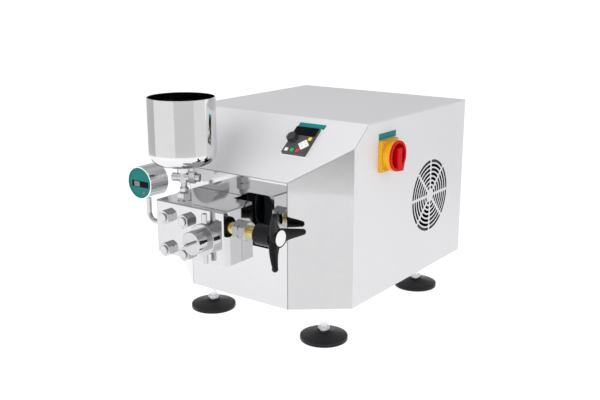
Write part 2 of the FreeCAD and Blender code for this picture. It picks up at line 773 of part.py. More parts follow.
def crankcase():
    """Cast case with its legs: crosshead guide in front, open-topped crank chamber behind."""
    left = PLUNGER_X - CASE_HALF_WIDTH
    right = PLUNGER_X + CASE_HALF_WIDTH
    body = box(left, right, CASE_FRONT, CASE_BACK, TRAY_SHEET, CASE_TOP)
    chamber = box(left + CASE_SIDE_WALL, right - CASE_SIDE_WALL, CHAMBER_FRONT_Y,
                  CASE_BACK - CASE_FLOOR_WALL, CASE_BOTTOM + CASE_FLOOR_WALL, CASE_TOP)
    arch = box(left + LEG_WALL, right - LEG_WALL, CASE_FRONT - 1, CASE_BACK + 1, TRAY_SHEET - 1, CASE_BOTTOM)
    guide_start = V(PLUNGER_X, CASE_FRONT, PLUNGER_Z)
    guide = cylinder(CROSSHEAD_RADIUS + RUN_FIT, CHAMBER_FRONT_Y - CASE_FRONT, guide_start, Y_AXIS)
    bearing_start = V(left, CRANK_Y, CRANK_Z)
    bearing_bore = cylinder(BEARING_RADIUS + BORE_FIT, right - left, bearing_start, X_AXIS)
    return cut_all(body, [chamber, arch, guide, bearing_bore])


def crankcase_lid():
    front = CHAMBER_FRONT_Y - CASE_SIDE_WALL
    lid = box(PLUNGER_X - CASE_HALF_WIDTH, PLUNGER_X + CASE_HALF_WIDTH, front, CASE_BACK,
              CASE_TOP, CASE_TOP + CASE_LID)
    top = [edge for edge in lid.Edges if edge.CenterOfMass.z > CASE_TOP + CASE_LID - 0.1]
    return lid.makeChamfer(2.0, top)


def crank_bearings():
    rings = []
    right = PLUNGER_X + CASE_HALF_WIDTH
    for x in (PLUNGER_X - CASE_HALF_WIDTH, right - BEARING_WIDTH):
        start = V(x, CRANK_Y, CRANK_Z)
        rings.append(tube(BEARING_RADIUS, JOURNAL_RADIUS + RUN_FIT, BEARING_WIDTH, start, X_AXIS))
    return Part.Compound(rings)


def crankshaft():
    left = PLUNGER_X - CASE_HALF_WIDTH + 2
    shaft = cylinder(JOURNAL_RADIUS, SHAFT_END - left, V(left, CRANK_Y, CRANK_Z), X_AXIS)
    throw_start = V(PLUNGER_X - ECCENTRIC_WIDTH / 2, PIN_Y, CRANK_Z)
    return shaft.fuse(cylinder(ECCENTRIC_RADIUS, ECCENTRIC_WIDTH, throw_start, X_AXIS))


def connecting_rod():
    big_start = V(PLUNGER_X - BIG_END_WIDTH / 2, PIN_Y, CRANK_Z)
    small_start = V(PLUNGER_X - SMALL_END_WIDTH / 2, WRIST_Y, CRANK_Z)
    big = cylinder(BIG_END_RADIUS, BIG_END_WIDTH, big_start, X_AXIS)
    small = cylinder(SMALL_END_RADIUS, SMALL_END_WIDTH, small_start, X_AXIS)
    half_w = SHANK_WIDTH / 2
    half_h = SHANK_HEIGHT / 2
    shank = box(PLUNGER_X - half_w, PLUNGER_X + half_w, WRIST_Y, PIN_Y, CRANK_Z - half_h, CRANK_Z + half_h)
    eye = cylinder(ECCENTRIC_RADIUS + RUN_FIT, BIG_END_WIDTH, big_start, X_AXIS)
    pin = cylinder(WRIST_PIN_RADIUS + BORE_FIT, SMALL_END_WIDTH, small_start, X_AXIS)
    return cut_all(big.fuse([small, shank]), [eye, pin])


def wrist_pin():
    start = V(PLUNGER_X - WRIST_PIN_LENGTH / 2, WRIST_Y, CRANK_Z)
    return cylinder(WRIST_PIN_RADIUS, WRIST_PIN_LENGTH, start, X_AXIS)


# Belt drive and motor


def pulley(radius, bore, y, z):
    """Flat-belt pulley with guide lips, a web, a hub and lightening holes where they fit."""
    face = V(PULLEY_LEFT, y, z)
    rim_depth = min(PULLEY_RIM, radius - bore - PULLEY_LIP)
    body = cylinder(radius, PULLEY_WIDTH, face, X_AXIS)
    for x in (PULLEY_LEFT, PULLEY_LEFT + PULLEY_WIDTH - PULLEY_LIP):
        body = body.fuse(cylinder(radius + PULLEY_LIP, PULLEY_LIP, V(x, y, z), X_AXIS))
    side = (PULLEY_WIDTH - PULLEY_WEB) / 2
    if radius - rim_depth > PULLEY_HUB_RADIUS + PULLEY_LIP:
        for x in (PULLEY_LEFT, PULLEY_LEFT + PULLEY_WIDTH - side):
            body = body.cut(tube(radius - rim_depth, PULLEY_HUB_RADIUS, side, V(x, y, z), X_AXIS))
        middle = (radius - rim_depth + PULLEY_HUB_RADIUS) / 2
        for index in range(6):
            angle = math.radians(60 * index)
            hole = V(PULLEY_LEFT, y + middle * math.cos(angle), z + middle * math.sin(angle))
            body = body.cut(cylinder(PULLEY_HOLE_RADIUS, PULLEY_WIDTH, hole, X_AXIS))
    return body.cut(cylinder(bore, PULLEY_WIDTH, face, X_AXIS))


def belt_outline(first_radius, second_radius):
    """Closed outline of two arcs and their outer tangents, round both pulleys."""
    run_y = MOTOR_Y - CRANK_Y
    run_z = MOTOR_Z - CRANK_Z
    distance = math.hypot(run_y, run_z)
    base = math.atan2(run_z, run_y)
    wrap = math.acos((first_radius - second_radius) / distance)

    def at(y, z, radius, angle):
        return V(0, y + radius * math.cos(angle), z + radius * math.sin(angle))

    upper = base + wrap
    lower = base - wrap
    a = at(CRANK_Y, CRANK_Z, first_radius, upper)
    b = at(CRANK_Y, CRANK_Z, first_radius, base + math.pi)
    c = at(CRANK_Y, CRANK_Z, first_radius, lower)
    d = at(MOTOR_Y, MOTOR_Z, second_radius, lower)
    e = at(MOTOR_Y, MOTOR_Z, second_radius, base)
    f = at(MOTOR_Y, MOTOR_Z, second_radius, upper)
    first_arc = Part.Arc(a, b, c).toShape()
    second_arc = Part.Arc(d, e, f).toShape()
    return Part.Wire([first_arc, Part.makeLine(c, d), second_arc, Part.makeLine(f, a)])


def drive_belt():
    """Flat belt round both pulleys, a little off their rims, as a belt at rest lies."""
    gap = SLIP_GAP
    width = V(BELT_WIDTH, 0, 0)
    inner = belt_outline(CRANK_PULLEY_RADIUS + gap, MOTOR_PULLEY_RADIUS + gap)
    outer = belt_outline(CRANK_PULLEY_RADIUS + gap + BELT_THICK, MOTOR_PULLEY_RADIUS + gap + BELT_THICK)
    belt = Part.Face(outer).extrude(width).cut(Part.Face(inner).extrude(width))
    belt.translate(V(PULLEY_LEFT + (PULLEY_WIDTH - BELT_WIDTH) / 2, 0, 0))
    return belt


def motor_body():
    start = V(MOTOR_LEFT, MOTOR_Y, MOTOR_Z)
    core_radius = MOTOR_RADIUS - MOTOR_FIN_HEIGHT
    core = cylinder(core_radius, MOTOR_LENGTH, start, X_AXIS)
    bells = []
    for x in (MOTOR_LEFT, MOTOR_LEFT + MOTOR_LENGTH - MOTOR_BELL):
        bells.append(cylinder(MOTOR_RADIUS, MOTOR_BELL, V(x, MOTOR_Y, MOTOR_Z), X_AXIS))
    fins = []
    fin_start = MOTOR_LEFT + MOTOR_BELL
    fin_end = MOTOR_LEFT + MOTOR_LENGTH - MOTOR_BELL
    for index in range(MOTOR_FINS):
        fin = box(fin_start, fin_end, MOTOR_Y - MOTOR_FIN_HALF, MOTOR_Y + MOTOR_FIN_HALF,
                  MOTOR_Z + core_radius - MOTOR_FIN_ROOT, MOTOR_Z + MOTOR_RADIUS)
        fin.rotate(start, X_AXIS, 360.0 * (index + 0.5) / MOTOR_FINS)
        fins.append(fin)
    middle = MOTOR_LEFT + MOTOR_LENGTH / 2
    foot = box(middle - MOTOR_FOOT_LENGTH / 2, middle + MOTOR_FOOT_LENGTH / 2,
               MOTOR_Y - MOTOR_FOOT_WIDTH / 2, MOTOR_Y + MOTOR_FOOT_WIDTH / 2,
               TRAY_SHEET, MOTOR_Z - core_radius / 2)
    terminal = box(middle - 30, middle + 30, MOTOR_Y - 32, MOTOR_Y + 32, MOTOR_Z + core_radius - 10,
                   MOTOR_Z + MOTOR_RADIUS + 22)
    body = core.fuse(bells + fins + [foot, terminal])
    bore_start = V(MOTOR_LEFT + MOTOR_LENGTH - MOTOR_SHAFT_DEPTH, MOTOR_Y, MOTOR_Z)
    return body.cut(cylinder(MOTOR_SHAFT_RADIUS + RUN_FIT, MOTOR_SHAFT_DEPTH, bore_start, X_AXIS))


def motor_shaft():
    start_x = MOTOR_LEFT + MOTOR_LENGTH - MOTOR_SHAFT_DEPTH + 1
    return cylinder(MOTOR_SHAFT_RADIUS, SHAFT_END - start_x, V(start_x, MOTOR_Y, MOTOR_Z), X_AXIS)


def drive_inverter():
    """Variable-speed drive: a box with a finned heat sink on its left side."""
    right = DRIVE_LEFT + DRIVE_WIDTH
    back = DRIVE_FRONT + DRIVE_DEPTH
    top = TRAY_SHEET + DRIVE_HEIGHT
    body = box(DRIVE_LEFT + 20, right, DRIVE_FRONT, back, TRAY_SHEET, top)
    fins = []
    count = int(DRIVE_DEPTH / (DRIVE_FIN * 3))
    for index in range(count):
        y = DRIVE_FRONT + (index + 0.5) * DRIVE_DEPTH / count
        fins.append(box(DRIVE_LEFT, DRIVE_LEFT + 20, y - DRIVE_FIN / 2, y + DRIVE_FIN / 2, TRAY_SHEET, top))
    return body.fuse(fins)


# Exhaust fan


def fan_frame():
    inner_face = CASE_WIDTH / 2 - SHEET
    half = FAN_SIZE / 2
    frame = box(inner_face - FAN_DEPTH, inner_face, FAN_Y - half, FAN_Y + half, FAN_Z - half, FAN_Z + half)
    corners = edges_along(frame, X_AXIS, lambda p: True)
    frame = frame.makeFillet(8.0, corners)
    back = V(inner_face - FAN_DEPTH, FAN_Y, FAN_Z)
    frame = frame.cut(cylinder(FAN_DUCT_RADIUS, FAN_DEPTH, back, X_AXIS))
    spider = cylinder(FAN_HUB_RADIUS - 4, FAN_STRUT_DEPTH, back, X_AXIS)
    reach = FAN_DUCT_RADIUS + 1
    struts = []
    for turn in (45, 135):
        strut = box(back.x, back.x + FAN_STRUT_DEPTH, FAN_Y - reach, FAN_Y + reach, FAN_Z - FAN_STRUT / 2,
                    FAN_Z + FAN_STRUT / 2)
        strut.rotate(back, X_AXIS, turn)
        struts.append(strut)
    axle = cylinder(FAN_AXLE_RADIUS, FAN_STRUT_DEPTH + FAN_HUB_DEPTH, back, X_AXIS)
    return frame.fuse([spider, axle] + struts)


def fan_rotor():
    start_x = CASE_WIDTH / 2 - SHEET - FAN_DEPTH + FAN_STRUT_DEPTH + SLIP_GAP
    start = V(start_x, FAN_Y, FAN_Z)
    hub = cylinder(FAN_HUB_RADIUS, FAN_HUB_DEPTH, start, X_AXIS)
    blades = []
    for index in range(FAN_BLADES):
        blade = box(-FAN_BLADE_CHORD / 2, FAN_BLADE_CHORD / 2, FAN_HUB_RADIUS - 3, FAN_TIP_RADIUS,
                    -FAN_BLADE_THICK / 2, FAN_BLADE_THICK / 2)
        blade.rotate(V(0, 0, 0), Y_AXIS, FAN_BLADE_PITCH)
        blade.translate(V(start_x + FAN_HUB_DEPTH / 2, FAN_Y, FAN_Z))
        blade.rotate(start, X_AXIS, 360.0 * index / FAN_BLADES)
        blades.append(blade)
    rotor = hub.fuse(blades)
    swept = cylinder(FAN_TIP_RADIUS, FAN_HUB_DEPTH, start, X_AXIS)
    bore = cylinder(FAN_AXLE_RADIUS + RUN_FIT, FAN_HUB_DEPTH, start, X_AXIS)
    return rotor.common(swept).cut(bore)


# Outlet


def outlet_housing():
    start = V(OUTLET_X, BLOCK_FRONT, OUTLET_Z)
    edge = OUTLET_DISC_RADIUS - HOUSING_EDGE
    profile = [(OUTLET_BORE, 0), (OUTLET_DISC_RADIUS, 0),
               (OUTLET_DISC_RADIUS, OUTLET_DISC_THICK - HOUSING_EDGE),
               (edge, OUTLET_DISC_THICK), (OUTLET_BORE, OUTLET_DISC_THICK)]
    holes = []
    for sign in (-1, 1):
        bore = CLAMP_SCREW_RADIUS - 1 + BORE_FIT
        holes.append(screw_cylinder(bore, screw_foot(), OUTLET_DISC_RADIUS, sign))
        holes.append(screw_cylinder(CLAMP_SCREW_RADIUS + BORE_FIT, screw_seat(), OUTLET_DISC_RADIUS, sign))
    return cut_all(lathe(profile, start, -Y_AXIS), holes)


def screw_cylinder(radius, low, high, sign):
    """Cylinder on a clamp screw's line, between two distances from the outlet's axis."""
    start = V(OUTLET_X, BLOCK_FRONT - CLAMP_SCREW_SETBACK, OUTLET_Z + low * sign)
    return cylinder(radius, high - low, start, Z_AXIS * sign)


def screw_seat():
    return OUTLET_DISC_RADIUS - CLAMP_SCREW_SPOT


def screw_foot():
    return OUTLET_DISC_RADIUS - CLAMP_SCREW_SINK


def outlet_spout():
    """Outlet barrel with its small discharge nozzle, turned from one piece."""
    start = V(OUTLET_X, BLOCK_FRONT - OUTLET_DISC_THICK, OUTLET_Z)
    length = OUTLET_BARREL_LENGTH
    tip = length + NOZZLE_LENGTH
    profile = [(OUTLET_BORE, 0), (OUTLET_BARREL_RADIUS, 0), (OUTLET_BARREL_RADIUS, length - HOUSING_EDGE),
               (OUTLET_BARREL_RADIUS - HOUSING_EDGE, length), (NOZZLE_RADIUS, length), (NOZZLE_RADIUS, tip),
               (NOZZLE_BORE, tip), (NOZZLE_BORE, length - OUTLET_BORE),
               (OUTLET_BORE, length - OUTLET_BORE * 2)]
    return lathe(profile, start, -Y_AXIS)


def clamp_screws():
    """Two radial socket screws that lock the outlet housing, heads standing on its rim."""
    screws = []
    top = OUTLET_DISC_RADIUS + CLAMP_SCREW_PROUD
    for sign in (-1, 1):
        head = screw_cylinder(CLAMP_SCREW_RADIUS, screw_seat(), top, sign)
        shank = screw_cylinder(CLAMP_SCREW_RADIUS - 1, screw_foot(), screw_seat(), sign)
        socket_low = OUTLET_Z + (top - CLAMP_SCREW_SOCKET) * sign
        socket_start = V(OUTLET_X, BLOCK_FRONT - CLAMP_SCREW_SETBACK, socket_low)
        socket = hexagon(CLAMP_SCREW_RADIUS, CLAMP_SCREW_SOCKET, socket_start, Z_AXIS * sign)
        screws.append(head.fuse(shank).cut(socket))
    return Part.Compound(screws)


# Homogenizing valve


def valve_at(distance):
    """Point on the valve's axis, measured out from the block's right face."""
    return V(BLOCK_RIGHT + distance, VALVE_Y, VALVE_Z)


def valve_seat():
    start = valve_at(-VALVE_CHAMBER_DEPTH)
    return tube(VALVE_CHAMBER_RADIUS - RUN_FIT, VALVE_FEED_RADIUS, VALVE_SEAT_THICK, start, X_AXIS)


def impact_ring():
    """Hard ring round the valve gap, with a side port for the outlet passage."""
    start = valve_at(-VALVE_CHAMBER_DEPTH + VALVE_SEAT_THICK)
    length = VALVE_CHAMBER_DEPTH - VALVE_SEAT_THICK - VALVE_NUT_STUB
    ring = tube(VALVE_CHAMBER_RADIUS - RUN_FIT, IMPACT_RING_BORE, length, start, X_AXIS)
    return ring.cut(outlet_passage())


def valve_nut():
    bore = ROD_RADIUS + RUN_FIT
    stub = tube(VALVE_CHAMBER_RADIUS - RUN_FIT, bore, VALVE_NUT_STUB, valve_at(-VALVE_NUT_STUB), X_AXIS)
    head = hex_nut(VALVE_NUT_FLATS, bore, VALVE_NUT_THICK, valve_at(0), X_AXIS, 0.0)
    return stub.fuse(head)


def spindle_bush():
    return tube(SPINDLE_RADIUS, ROD_RADIUS + RUN_FIT, SPINDLE_LENGTH, valve_at(VALVE_NUT_THICK), X_AXIS)


def valve_rod():
    head_start = -VALVE_CHAMBER_DEPTH + VALVE_SEAT_THICK + VALVE_GAP
    head = cylinder(VALVE_HEAD_RADIUS, VALVE_HEAD_THICK, valve_at(head_start), X_AXIS)
    rod = cylinder(ROD_RADIUS, hub_bottom() - RUN_FIT - head_start, valve_at(head_start), X_AXIS)
    collar = cylinder(SPRING_COLLAR, 3.0, valve_at(spring_start() - 3.0), X_AXIS)
    return head.fuse([rod, collar])


def hub_bottom():
    return HUB_START + HUB_LENGTH - HUB_WALL


def spring_start():
    return VALVE_NUT_THICK + SPINDLE_LENGTH + HANDLE_TRAVEL + 4.0


def disc_stack(inner, outer, length, pairs, thick, start, axis):
    """Stack of cone-shaped disc springs that touch at their rims by turns."""
    count = pairs * 2
    step = length / count
    under = []
    over = []
    for index in range(count + 1):
        radius = inner if index % 2 == 0 else outer
        under.append((radius, max(step * index - thick / 2, 0.0)))
        over.append((radius, min(step * index + thick / 2, length)))
    discs = []
    for index in range(count):
        discs.append(lathe([under[index], under[index + 1], over[index + 1], over[index]], start, axis))
    return discs[0].fuse(discs[1:])


def disc_springs():
    """Springs between the rod's collar and the bottom of the handle's hub."""
    length = hub_bottom() - RUN_FIT - spring_start()
    start = valve_at(spring_start())
    return disc_stack(ROD_RADIUS + RUN_FIT, SPRING_COLLAR, length, DISC_PAIRS, DISC_THICK, start, X_AXIS)


def handle_arm():
    """One arm of the star handle: a loft of ovals that sweeps outwards to a round tip."""
    tip = ARM_TIP_RADIUS
    stations = [(6.0, 14.5, 9.0, 0.0), (18.0, 13.0, 8.2, 1.5),
                (29.0, 10.6, 7.6, 5.0), (41.0, 8.4, 6.9, 10.5),
                (ARM_TIP_REACH, tip - 0.3, tip - 0.5, ARM_SWEEP)]
    middle = HUB_START + HUB_LENGTH + BOSS_LENGTH / 3
    facing = FreeCAD.Rotation(Z_AXIS, X_AXIS, Y_AXIS, "ZXY")
    sections = []
    for reach, half_width, half_depth, forward in stations:
        oval = Part.Wire([Part.Ellipse(V(0, 0, 0), half_width, half_depth).toShape()])
        centre = valve_at(middle + forward) + V(0, reach, 0)
        oval.Placement = FreeCAD.Placement(centre, facing)
        sections.append(oval)
    end = Part.makeSphere(tip, valve_at(middle + ARM_SWEEP) + V(0, ARM_TIP_REACH, 0))
    arm = Part.makeLoft(sections, True, False)
    if arm.Volume < 0:
        arm.reverse()
    return arm.fuse(end)


def star_handle():
    hub = cylinder(HUB_RADIUS, HUB_LENGTH, valve_at(HUB_START), X_AXIS)
    boss = cylinder(BOSS_RADIUS, BOSS_LENGTH, valve_at(HUB_START + HUB_LENGTH), X_AXIS)
    body = hub.fuse(boss)
    for index in range(ARM_COUNT):
        arm = handle_arm()
        arm.rotate(valve_at(0), X_AXIS, 360.0 * index / ARM_COUNT)
        body = body.fuse(arm)
    cavity = cylinder(SPINDLE_RADIUS + SLIP_GAP, HUB_LENGTH - HUB_WALL, valve_at(HUB_START), X_AXIS)
    return body.cut(cavity)


# Inlet, check valves and hopper


def inlet_levels():
    """Heights of the inlet line's joints, from the block's top upwards."""
    hex_top = BLOCK_TOP + INLET_HEX_HEIGHT
    union_top = hex_top + UNION_HEIGHT
    neck_top = union_top + NECK_HEIGHT
    tee_top = neck_top + TEE_HEIGHT
    return hex_top, union_top, neck_top, tee_top


def inlet_stem():
    """Hexagon base, rounded housing of the suction valve and slim neck, in one piece."""
    start = V(INLET_X, INLET_Y, BLOCK_TOP)
    base = hex_nut(INLET_HEX_FLATS, 0.0, INLET_HEX_HEIGHT, start, Z_AXIS, 6.0)
    stub = cylinder(INLET_STUB_RADIUS - RUN_FIT, INLET_STUB, start, -Z_AXIS)
    top = UNION_HEIGHT + NECK_HEIGHT
    profile = [(0, 0), (UNION_RADIUS - 1, 0), (UNION_RADIUS, 3), (UNION_RADIUS, UNION_HEIGHT - 4),
               (NECK_RADIUS, UNION_HEIGHT), (NECK_RADIUS, top), (0, top)]
    neck = lathe(profile, start + V(0, 0, INLET_HEX_HEIGHT), Z_AXIS)
    low = V(INLET_X, INLET_Y, BLOCK_TOP - INLET_STUB)
    cavity = cylinder(CHECK_BORE, check_length(), low, Z_AXIS)
    bore = cylinder(INLET_BORE, INLET_STUB + INLET_HEX_HEIGHT + top, low, Z_AXIS)
    return cut_all(base.fuse([stub, neck]), [cavity, bore])


def tee_axis():
    angle = math.radians(TEE_TURN)
    return V(math.cos(angle), math.sin(angle), 0)


def tee_middle():
    hex_top, union_top, neck_top, tee_top = inlet_levels()
    return V(INLET_X, INLET_Y, (neck_top + tee_top) / 2)


def inlet_tee():
    hex_top, union_top, neck_top, tee_top = inlet_levels()
    body = cylinder(TEE_RADIUS, TEE_HEIGHT, V(INLET_X, INLET_Y, neck_top), Z_AXIS)
    cross_start = tee_middle() - tee_axis() * TEE_NUT_START
    cross = cylinder(TEE_PLUG_RADIUS, TEE_NUT_START * 2, cross_start, tee_axis())
    bore = cylinder(INLET_BORE, TEE_HEIGHT, V(INLET_X, INLET_Y, neck_top), Z_AXIS)
    cross_bore = cylinder(INLET_BORE, TEE_NUT_START * 2, cross_start, tee_axis())
    return cut_all(body.fuse(cross), [bore, cross_bore])


def tee_plugs():
    """Plain plug in the tee's left end, and hexagon plug with a round end in its right one."""
    left = tee_middle() - tee_axis() * TEE_NUT_START
    length = TEE_PLUG_LENGTH - TEE_NUT_START
    profile = [(0, 0), (TEE_PLUG_RADIUS, 0), (TEE_PLUG_RADIUS, length - 1), (TEE_PLUG_RADIUS - 1, length),
               (0, length)]
    plain = lathe(profile, left, -tee_axis())
    right = tee_middle() + tee_axis() * TEE_NUT_START
    hexagonal = hex_nut(TEE_NUT_FLATS, 0.0, TEE_NUT_THICK, right, tee_axis(), 0.0)
    end = cylinder(TEE_END_RADIUS, TEE_END_LENGTH, right + tee_axis() * TEE_NUT_THICK, tee_axis())
    return Part.Compound([plain, hexagonal.fuse(end)])


def hopper_shell(radius, foot, top, dish_start):
    """Dished cup of revolution with a rounded knuckle, as a closed body."""
    profile = [(0, foot), (HOPPER_STUB_RADIUS, foot), (radius, foot + HOPPER_DISH), (radius, top), (0, top)]
    body = lathe(profile, V(INLET_X, INLET_Y, dish_start), Z_AXIS)
    knuckle = [edge for edge in body.Edges if is_circle_at(edge, radius, dish_start + foot + HOPPER_DISH)]
    return body.makeFillet(HOPPER_KNUCKLE - (HOPPER_RADIUS - radius), knuckle)


def is_circle_at(edge, radius, height):
    if not isinstance(edge.Curve, Part.Circle):
        return False
    return abs(edge.Curve.Radius - radius) < 0.01 and abs(edge.Curve.Center.z - height) < 0.01


def hopper():
    base = inlet_levels()[3]
    outside = hopper_shell(HOPPER_RADIUS, HOPPER_STUB_HEIGHT, HOPPER_HEIGHT, base)
    inside = hopper_shell(HOPPER_RADIUS - HOPPER_WALL, HOPPER_STUB_HEIGHT + HOPPER_WALL,
                          HOPPER_HEIGHT + HOPPER_WALL, base)
    foot = V(INLET_X, INLET_Y, base)
    stub = cylinder(HOPPER_STUB_RADIUS, HOPPER_STUB_HEIGHT, foot, Z_AXIS)
    drain = cylinder(INLET_BORE, HOPPER_STUB_HEIGHT + HOPPER_DISH, foot, Z_AXIS)
    return outside.cut(inside).fuse(stub).cut(drain)


def check_length():
    """Length of a check valve's cavity: seat, ball and spring."""
    return CHECK_SEAT_THICK + ball_rise() + BALL_RADIUS + SEAT_GAP + SPRING_LENGTH


def ball_rise():
    """How far the ball's centre stands off its seat's face."""
    return math.sqrt(BALL_RADIUS ** 2 - CHECK_SEAT_BORE ** 2) - CHECK_SEAT_BITE


def delivery_start():
    return BLOCK_RIGHT - VALVE_CHAMBER_DEPTH - check_length()


def check_lines():
    """Seat end and flow direction of the suction valve and of the delivery valve."""
    suction = V(INLET_X, INLET_Y, BLOCK_TOP - INLET_STUB + check_length())
    delivery = V(delivery_start(), VALVE_Y, VALVE_Z)
    return [(suction, -Z_AXIS), (delivery, X_AXIS)]


def check_seats():
    seats = []
    for start, axis in check_lines():
        ring = tube(CHECK_BORE - RUN_FIT, CHECK_SEAT_BORE, CHECK_SEAT_THICK, start, axis)
        centre = start + axis * (CHECK_SEAT_THICK + ball_rise())
        seats.append(ring.cut(Part.makeSphere(BALL_RADIUS + RUN_FIT, centre)))
    return Part.Compound(seats)


def check_balls():
    reach = CHECK_SEAT_THICK + ball_rise()
    places = [start + axis * reach for start, axis in check_lines()]
    return Part.Compound([Part.makeSphere(BALL_RADIUS, place) for place in places])


def check_springs():
    reach = CHECK_SEAT_THICK + ball_rise() + BALL_RADIUS + SEAT_GAP
    springs = []
    for start, axis in check_lines():
        springs.append(disc_stack(CHECK_SPRING_BORE, CHECK_BORE - SEAT_GAP, SPRING_LENGTH,
                                  CHECK_SPRING_PAIRS, CHECK_SPRING_THICK, start + axis * reach, axis))
    return Part.Compound(springs)


# Pressure gauge


def gauge_body():
    start = V(GAUGE_X, GAUGE_FRONT, GAUGE_Z)
    body = cylinder(GAUGE_RADIUS, GAUGE_LENGTH, start, Y_AXIS)
    pocket = cylinder(GAUGE_FACE_RADIUS + RUN_FIT, GAUGE_BEZEL + GAUGE_FACE_THICK, start, Y_AXIS)
    socket = cylinder(GAUGE_PIPE_RADIUS + BORE_FIT, GAUGE_PIPE_SINK, gauge_foot(), Z_AXIS)
    return cut_all(body, [pocket, socket])


def gauge_foot():
    """Where the pipe meets the round underside of the gauge."""
    return V(GAUGE_X, gauge_pipe_y(), GAUGE_Z - GAUGE_RADIUS)


def gauge_face():
    start = V(GAUGE_X, GAUGE_FRONT + GAUGE_BEZEL, GAUGE_Z)
    face = cylinder(GAUGE_FACE_RADIUS, GAUGE_FACE_THICK, start, Y_AXIS)
    low = GAUGE_Z - DISPLAY_DROP - DISPLAY_HEIGHT / 2
    window = box(GAUGE_X - DISPLAY_WIDTH / 2, GAUGE_X + DISPLAY_WIDTH / 2,
                 start.y, start.y + DISPLAY_DEPTH, low, low + DISPLAY_HEIGHT)
    return face.cut(window)


def gauge_pipe():
    """Pipe that drops from the gauge, turns through a right angle and enters the block."""
    return pipe_run(GAUGE_PIPE_RADIUS).cut(pipe_run(GAUGE_PIPE_BORE))


def pipe_run(radius):
    y = gauge_pipe_y()
    top = gauge_foot() + V(0, 0, GAUGE_PIPE_SINK)
    low = V(GAUGE_X, y, GAUGE_PIPE_Z + GAUGE_PIPE_BEND)
    side = V(GAUGE_X + GAUGE_PIPE_BEND, y, GAUGE_PIPE_Z)
    half = GAUGE_PIPE_BEND * math.sqrt(0.5)
    middle = V(side.x - half, y, low.z - half)
    end = V(BLOCK_LEFT + GAUGE_PIPE_SINK, y, GAUGE_PIPE_Z)
    bend = Part.Arc(low, middle, side).toShape()
    path = Part.Wire([Part.makeLine(top, low), bend, Part.makeLine(side, end)])
    return path.makePipeShell([Part.Wire([Part.makeCircle(radius, top, -Z_AXIS)])], True, False)


# Keypad on the sloped panel


def slope_placement():
    """Frame with X to the right, Y up the slope and Z out of the sloped panel."""
    angle = math.radians(SLOPE_ANGLE)
    along = V(0, math.cos(angle), math.sin(angle))
    corner = V(PAD_X, 0, FRONT_HEIGHT) + along * PAD_SLOPE
    return FreeCAD.Placement(corner, FreeCAD.Rotation(X_AXIS, SLOPE_ANGLE))


def on_slope(shape):
    placed = shape.copy()
    placed.Placement = slope_placement().multiply(shape.Placement)
    return placed


def keypad_body():
    half_w = PAD_WIDTH / 2
    half_l = PAD_LENGTH / 2
    body = box(-half_w, half_w, -half_l, half_l, 0, PAD_THICK)
    body = body.makeFillet(PAD_CORNER, edges_along(body, Z_AXIS, lambda p: True))
    body = body.makeChamfer(0.8, [edge for edge in body.Edges if edge.CenterOfMass.z > PAD_THICK - 0.01])
    low = PAD_THICK - PAD_POCKET
    cuts = [box(-SCREEN_WIDTH / 2, SCREEN_WIDTH / 2, SCREEN_UP - SCREEN_LENGTH / 2,
                SCREEN_UP + SCREEN_LENGTH / 2, PAD_THICK - SCREEN_DEPTH, PAD_THICK)]
    for x, y in key_places().values():
        cuts.append(key_prism(x, y, KEY_SIZE / 2 + KEY_FIT, low, PAD_THICK))
    cuts.append(diamond(NAV_HALF + KEY_FIT * 1.5, low, PAD_THICK))
    cuts.append(cylinder(KNOB_POST + RUN_FIT, PAD_POCKET, V(KNOB_RIGHT, KNOB_UP, low), Z_AXIS))
    return on_slope(cut_all(body, cuts))


def key_places():
    places = {}
    for index, name in enumerate(("white", "green", "red")):
        places[name] = (KEY_ROW_START + KEY_ROW_STEP * index, KEY_ROW_UP)
    places["yellow"] = (YELLOW_RIGHT, YELLOW_UP)
    return places


def key_prism(x, y, half, z0, z1):
    return box(x - half, x + half, y - half, y + half, z0, z1)


def diamond(half, z0, z1):
    points = [(NAV_RIGHT + half, NAV_UP), (NAV_RIGHT, NAV_UP + half), (NAV_RIGHT - half, NAV_UP),
              (NAV_RIGHT, NAV_UP - half)]
    return column(points, z0, z1)


def keypad_key(name):
    x, y = key_places()[name]
    low = PAD_THICK - PAD_POCKET + KEY_TRAVEL + KEY_FIT
    key = key_prism(x, y, KEY_SIZE / 2, low, PAD_THICK + KEY_PROUD)
    top = [edge for edge in key.Edges if edge.CenterOfMass.z > PAD_THICK + KEY_PROUD - 0.01]
    return on_slope(key.makeChamfer(0.4, top))


def keypad_navigator():
    low = PAD_THICK - PAD_POCKET + KEY_TRAVEL + KEY_FIT
    key = diamond(NAV_HALF, low, PAD_THICK + KEY_PROUD)
    key = key.makeFillet(1.5, edges_along(key, Z_AXIS, lambda p: True))
    top = [edge for edge in key.Edges if edge.CenterOfMass.z > PAD_THICK + KEY_PROUD - 0.01]
    return on_slope(key.makeChamfer(0.4, top))


def keypad_knob():
    base = V(KNOB_RIGHT, KNOB_UP, PAD_THICK + SLIP_GAP)
    height = KNOB_HEIGHT
    profile = [(0, 0), (KNOB_RADIUS, 0), (KNOB_RADIUS, 2.5), (KNOB_RADIUS - 1.2, 3.5),
               (KNOB_RADIUS - 2, height - 1), (KNOB_RADIUS - 3, height), (0, height)]
    body = lathe(profile, base, Z_AXIS)
    post_length = PAD_POCKET + SLIP_GAP - KEY_FIT
    post = cylinder(KNOB_POST, post_length, base, -Z_AXIS)
    pointer = box(KNOB_RIGHT - 0.6, KNOB_RIGHT + 0.6, KNOB_UP, KNOB_UP + KNOB_RADIUS, base.z + height - 0.8,
                  base.z + height)
    return on_slope(body.fuse(post).cut(pointer))


# Isolator switch


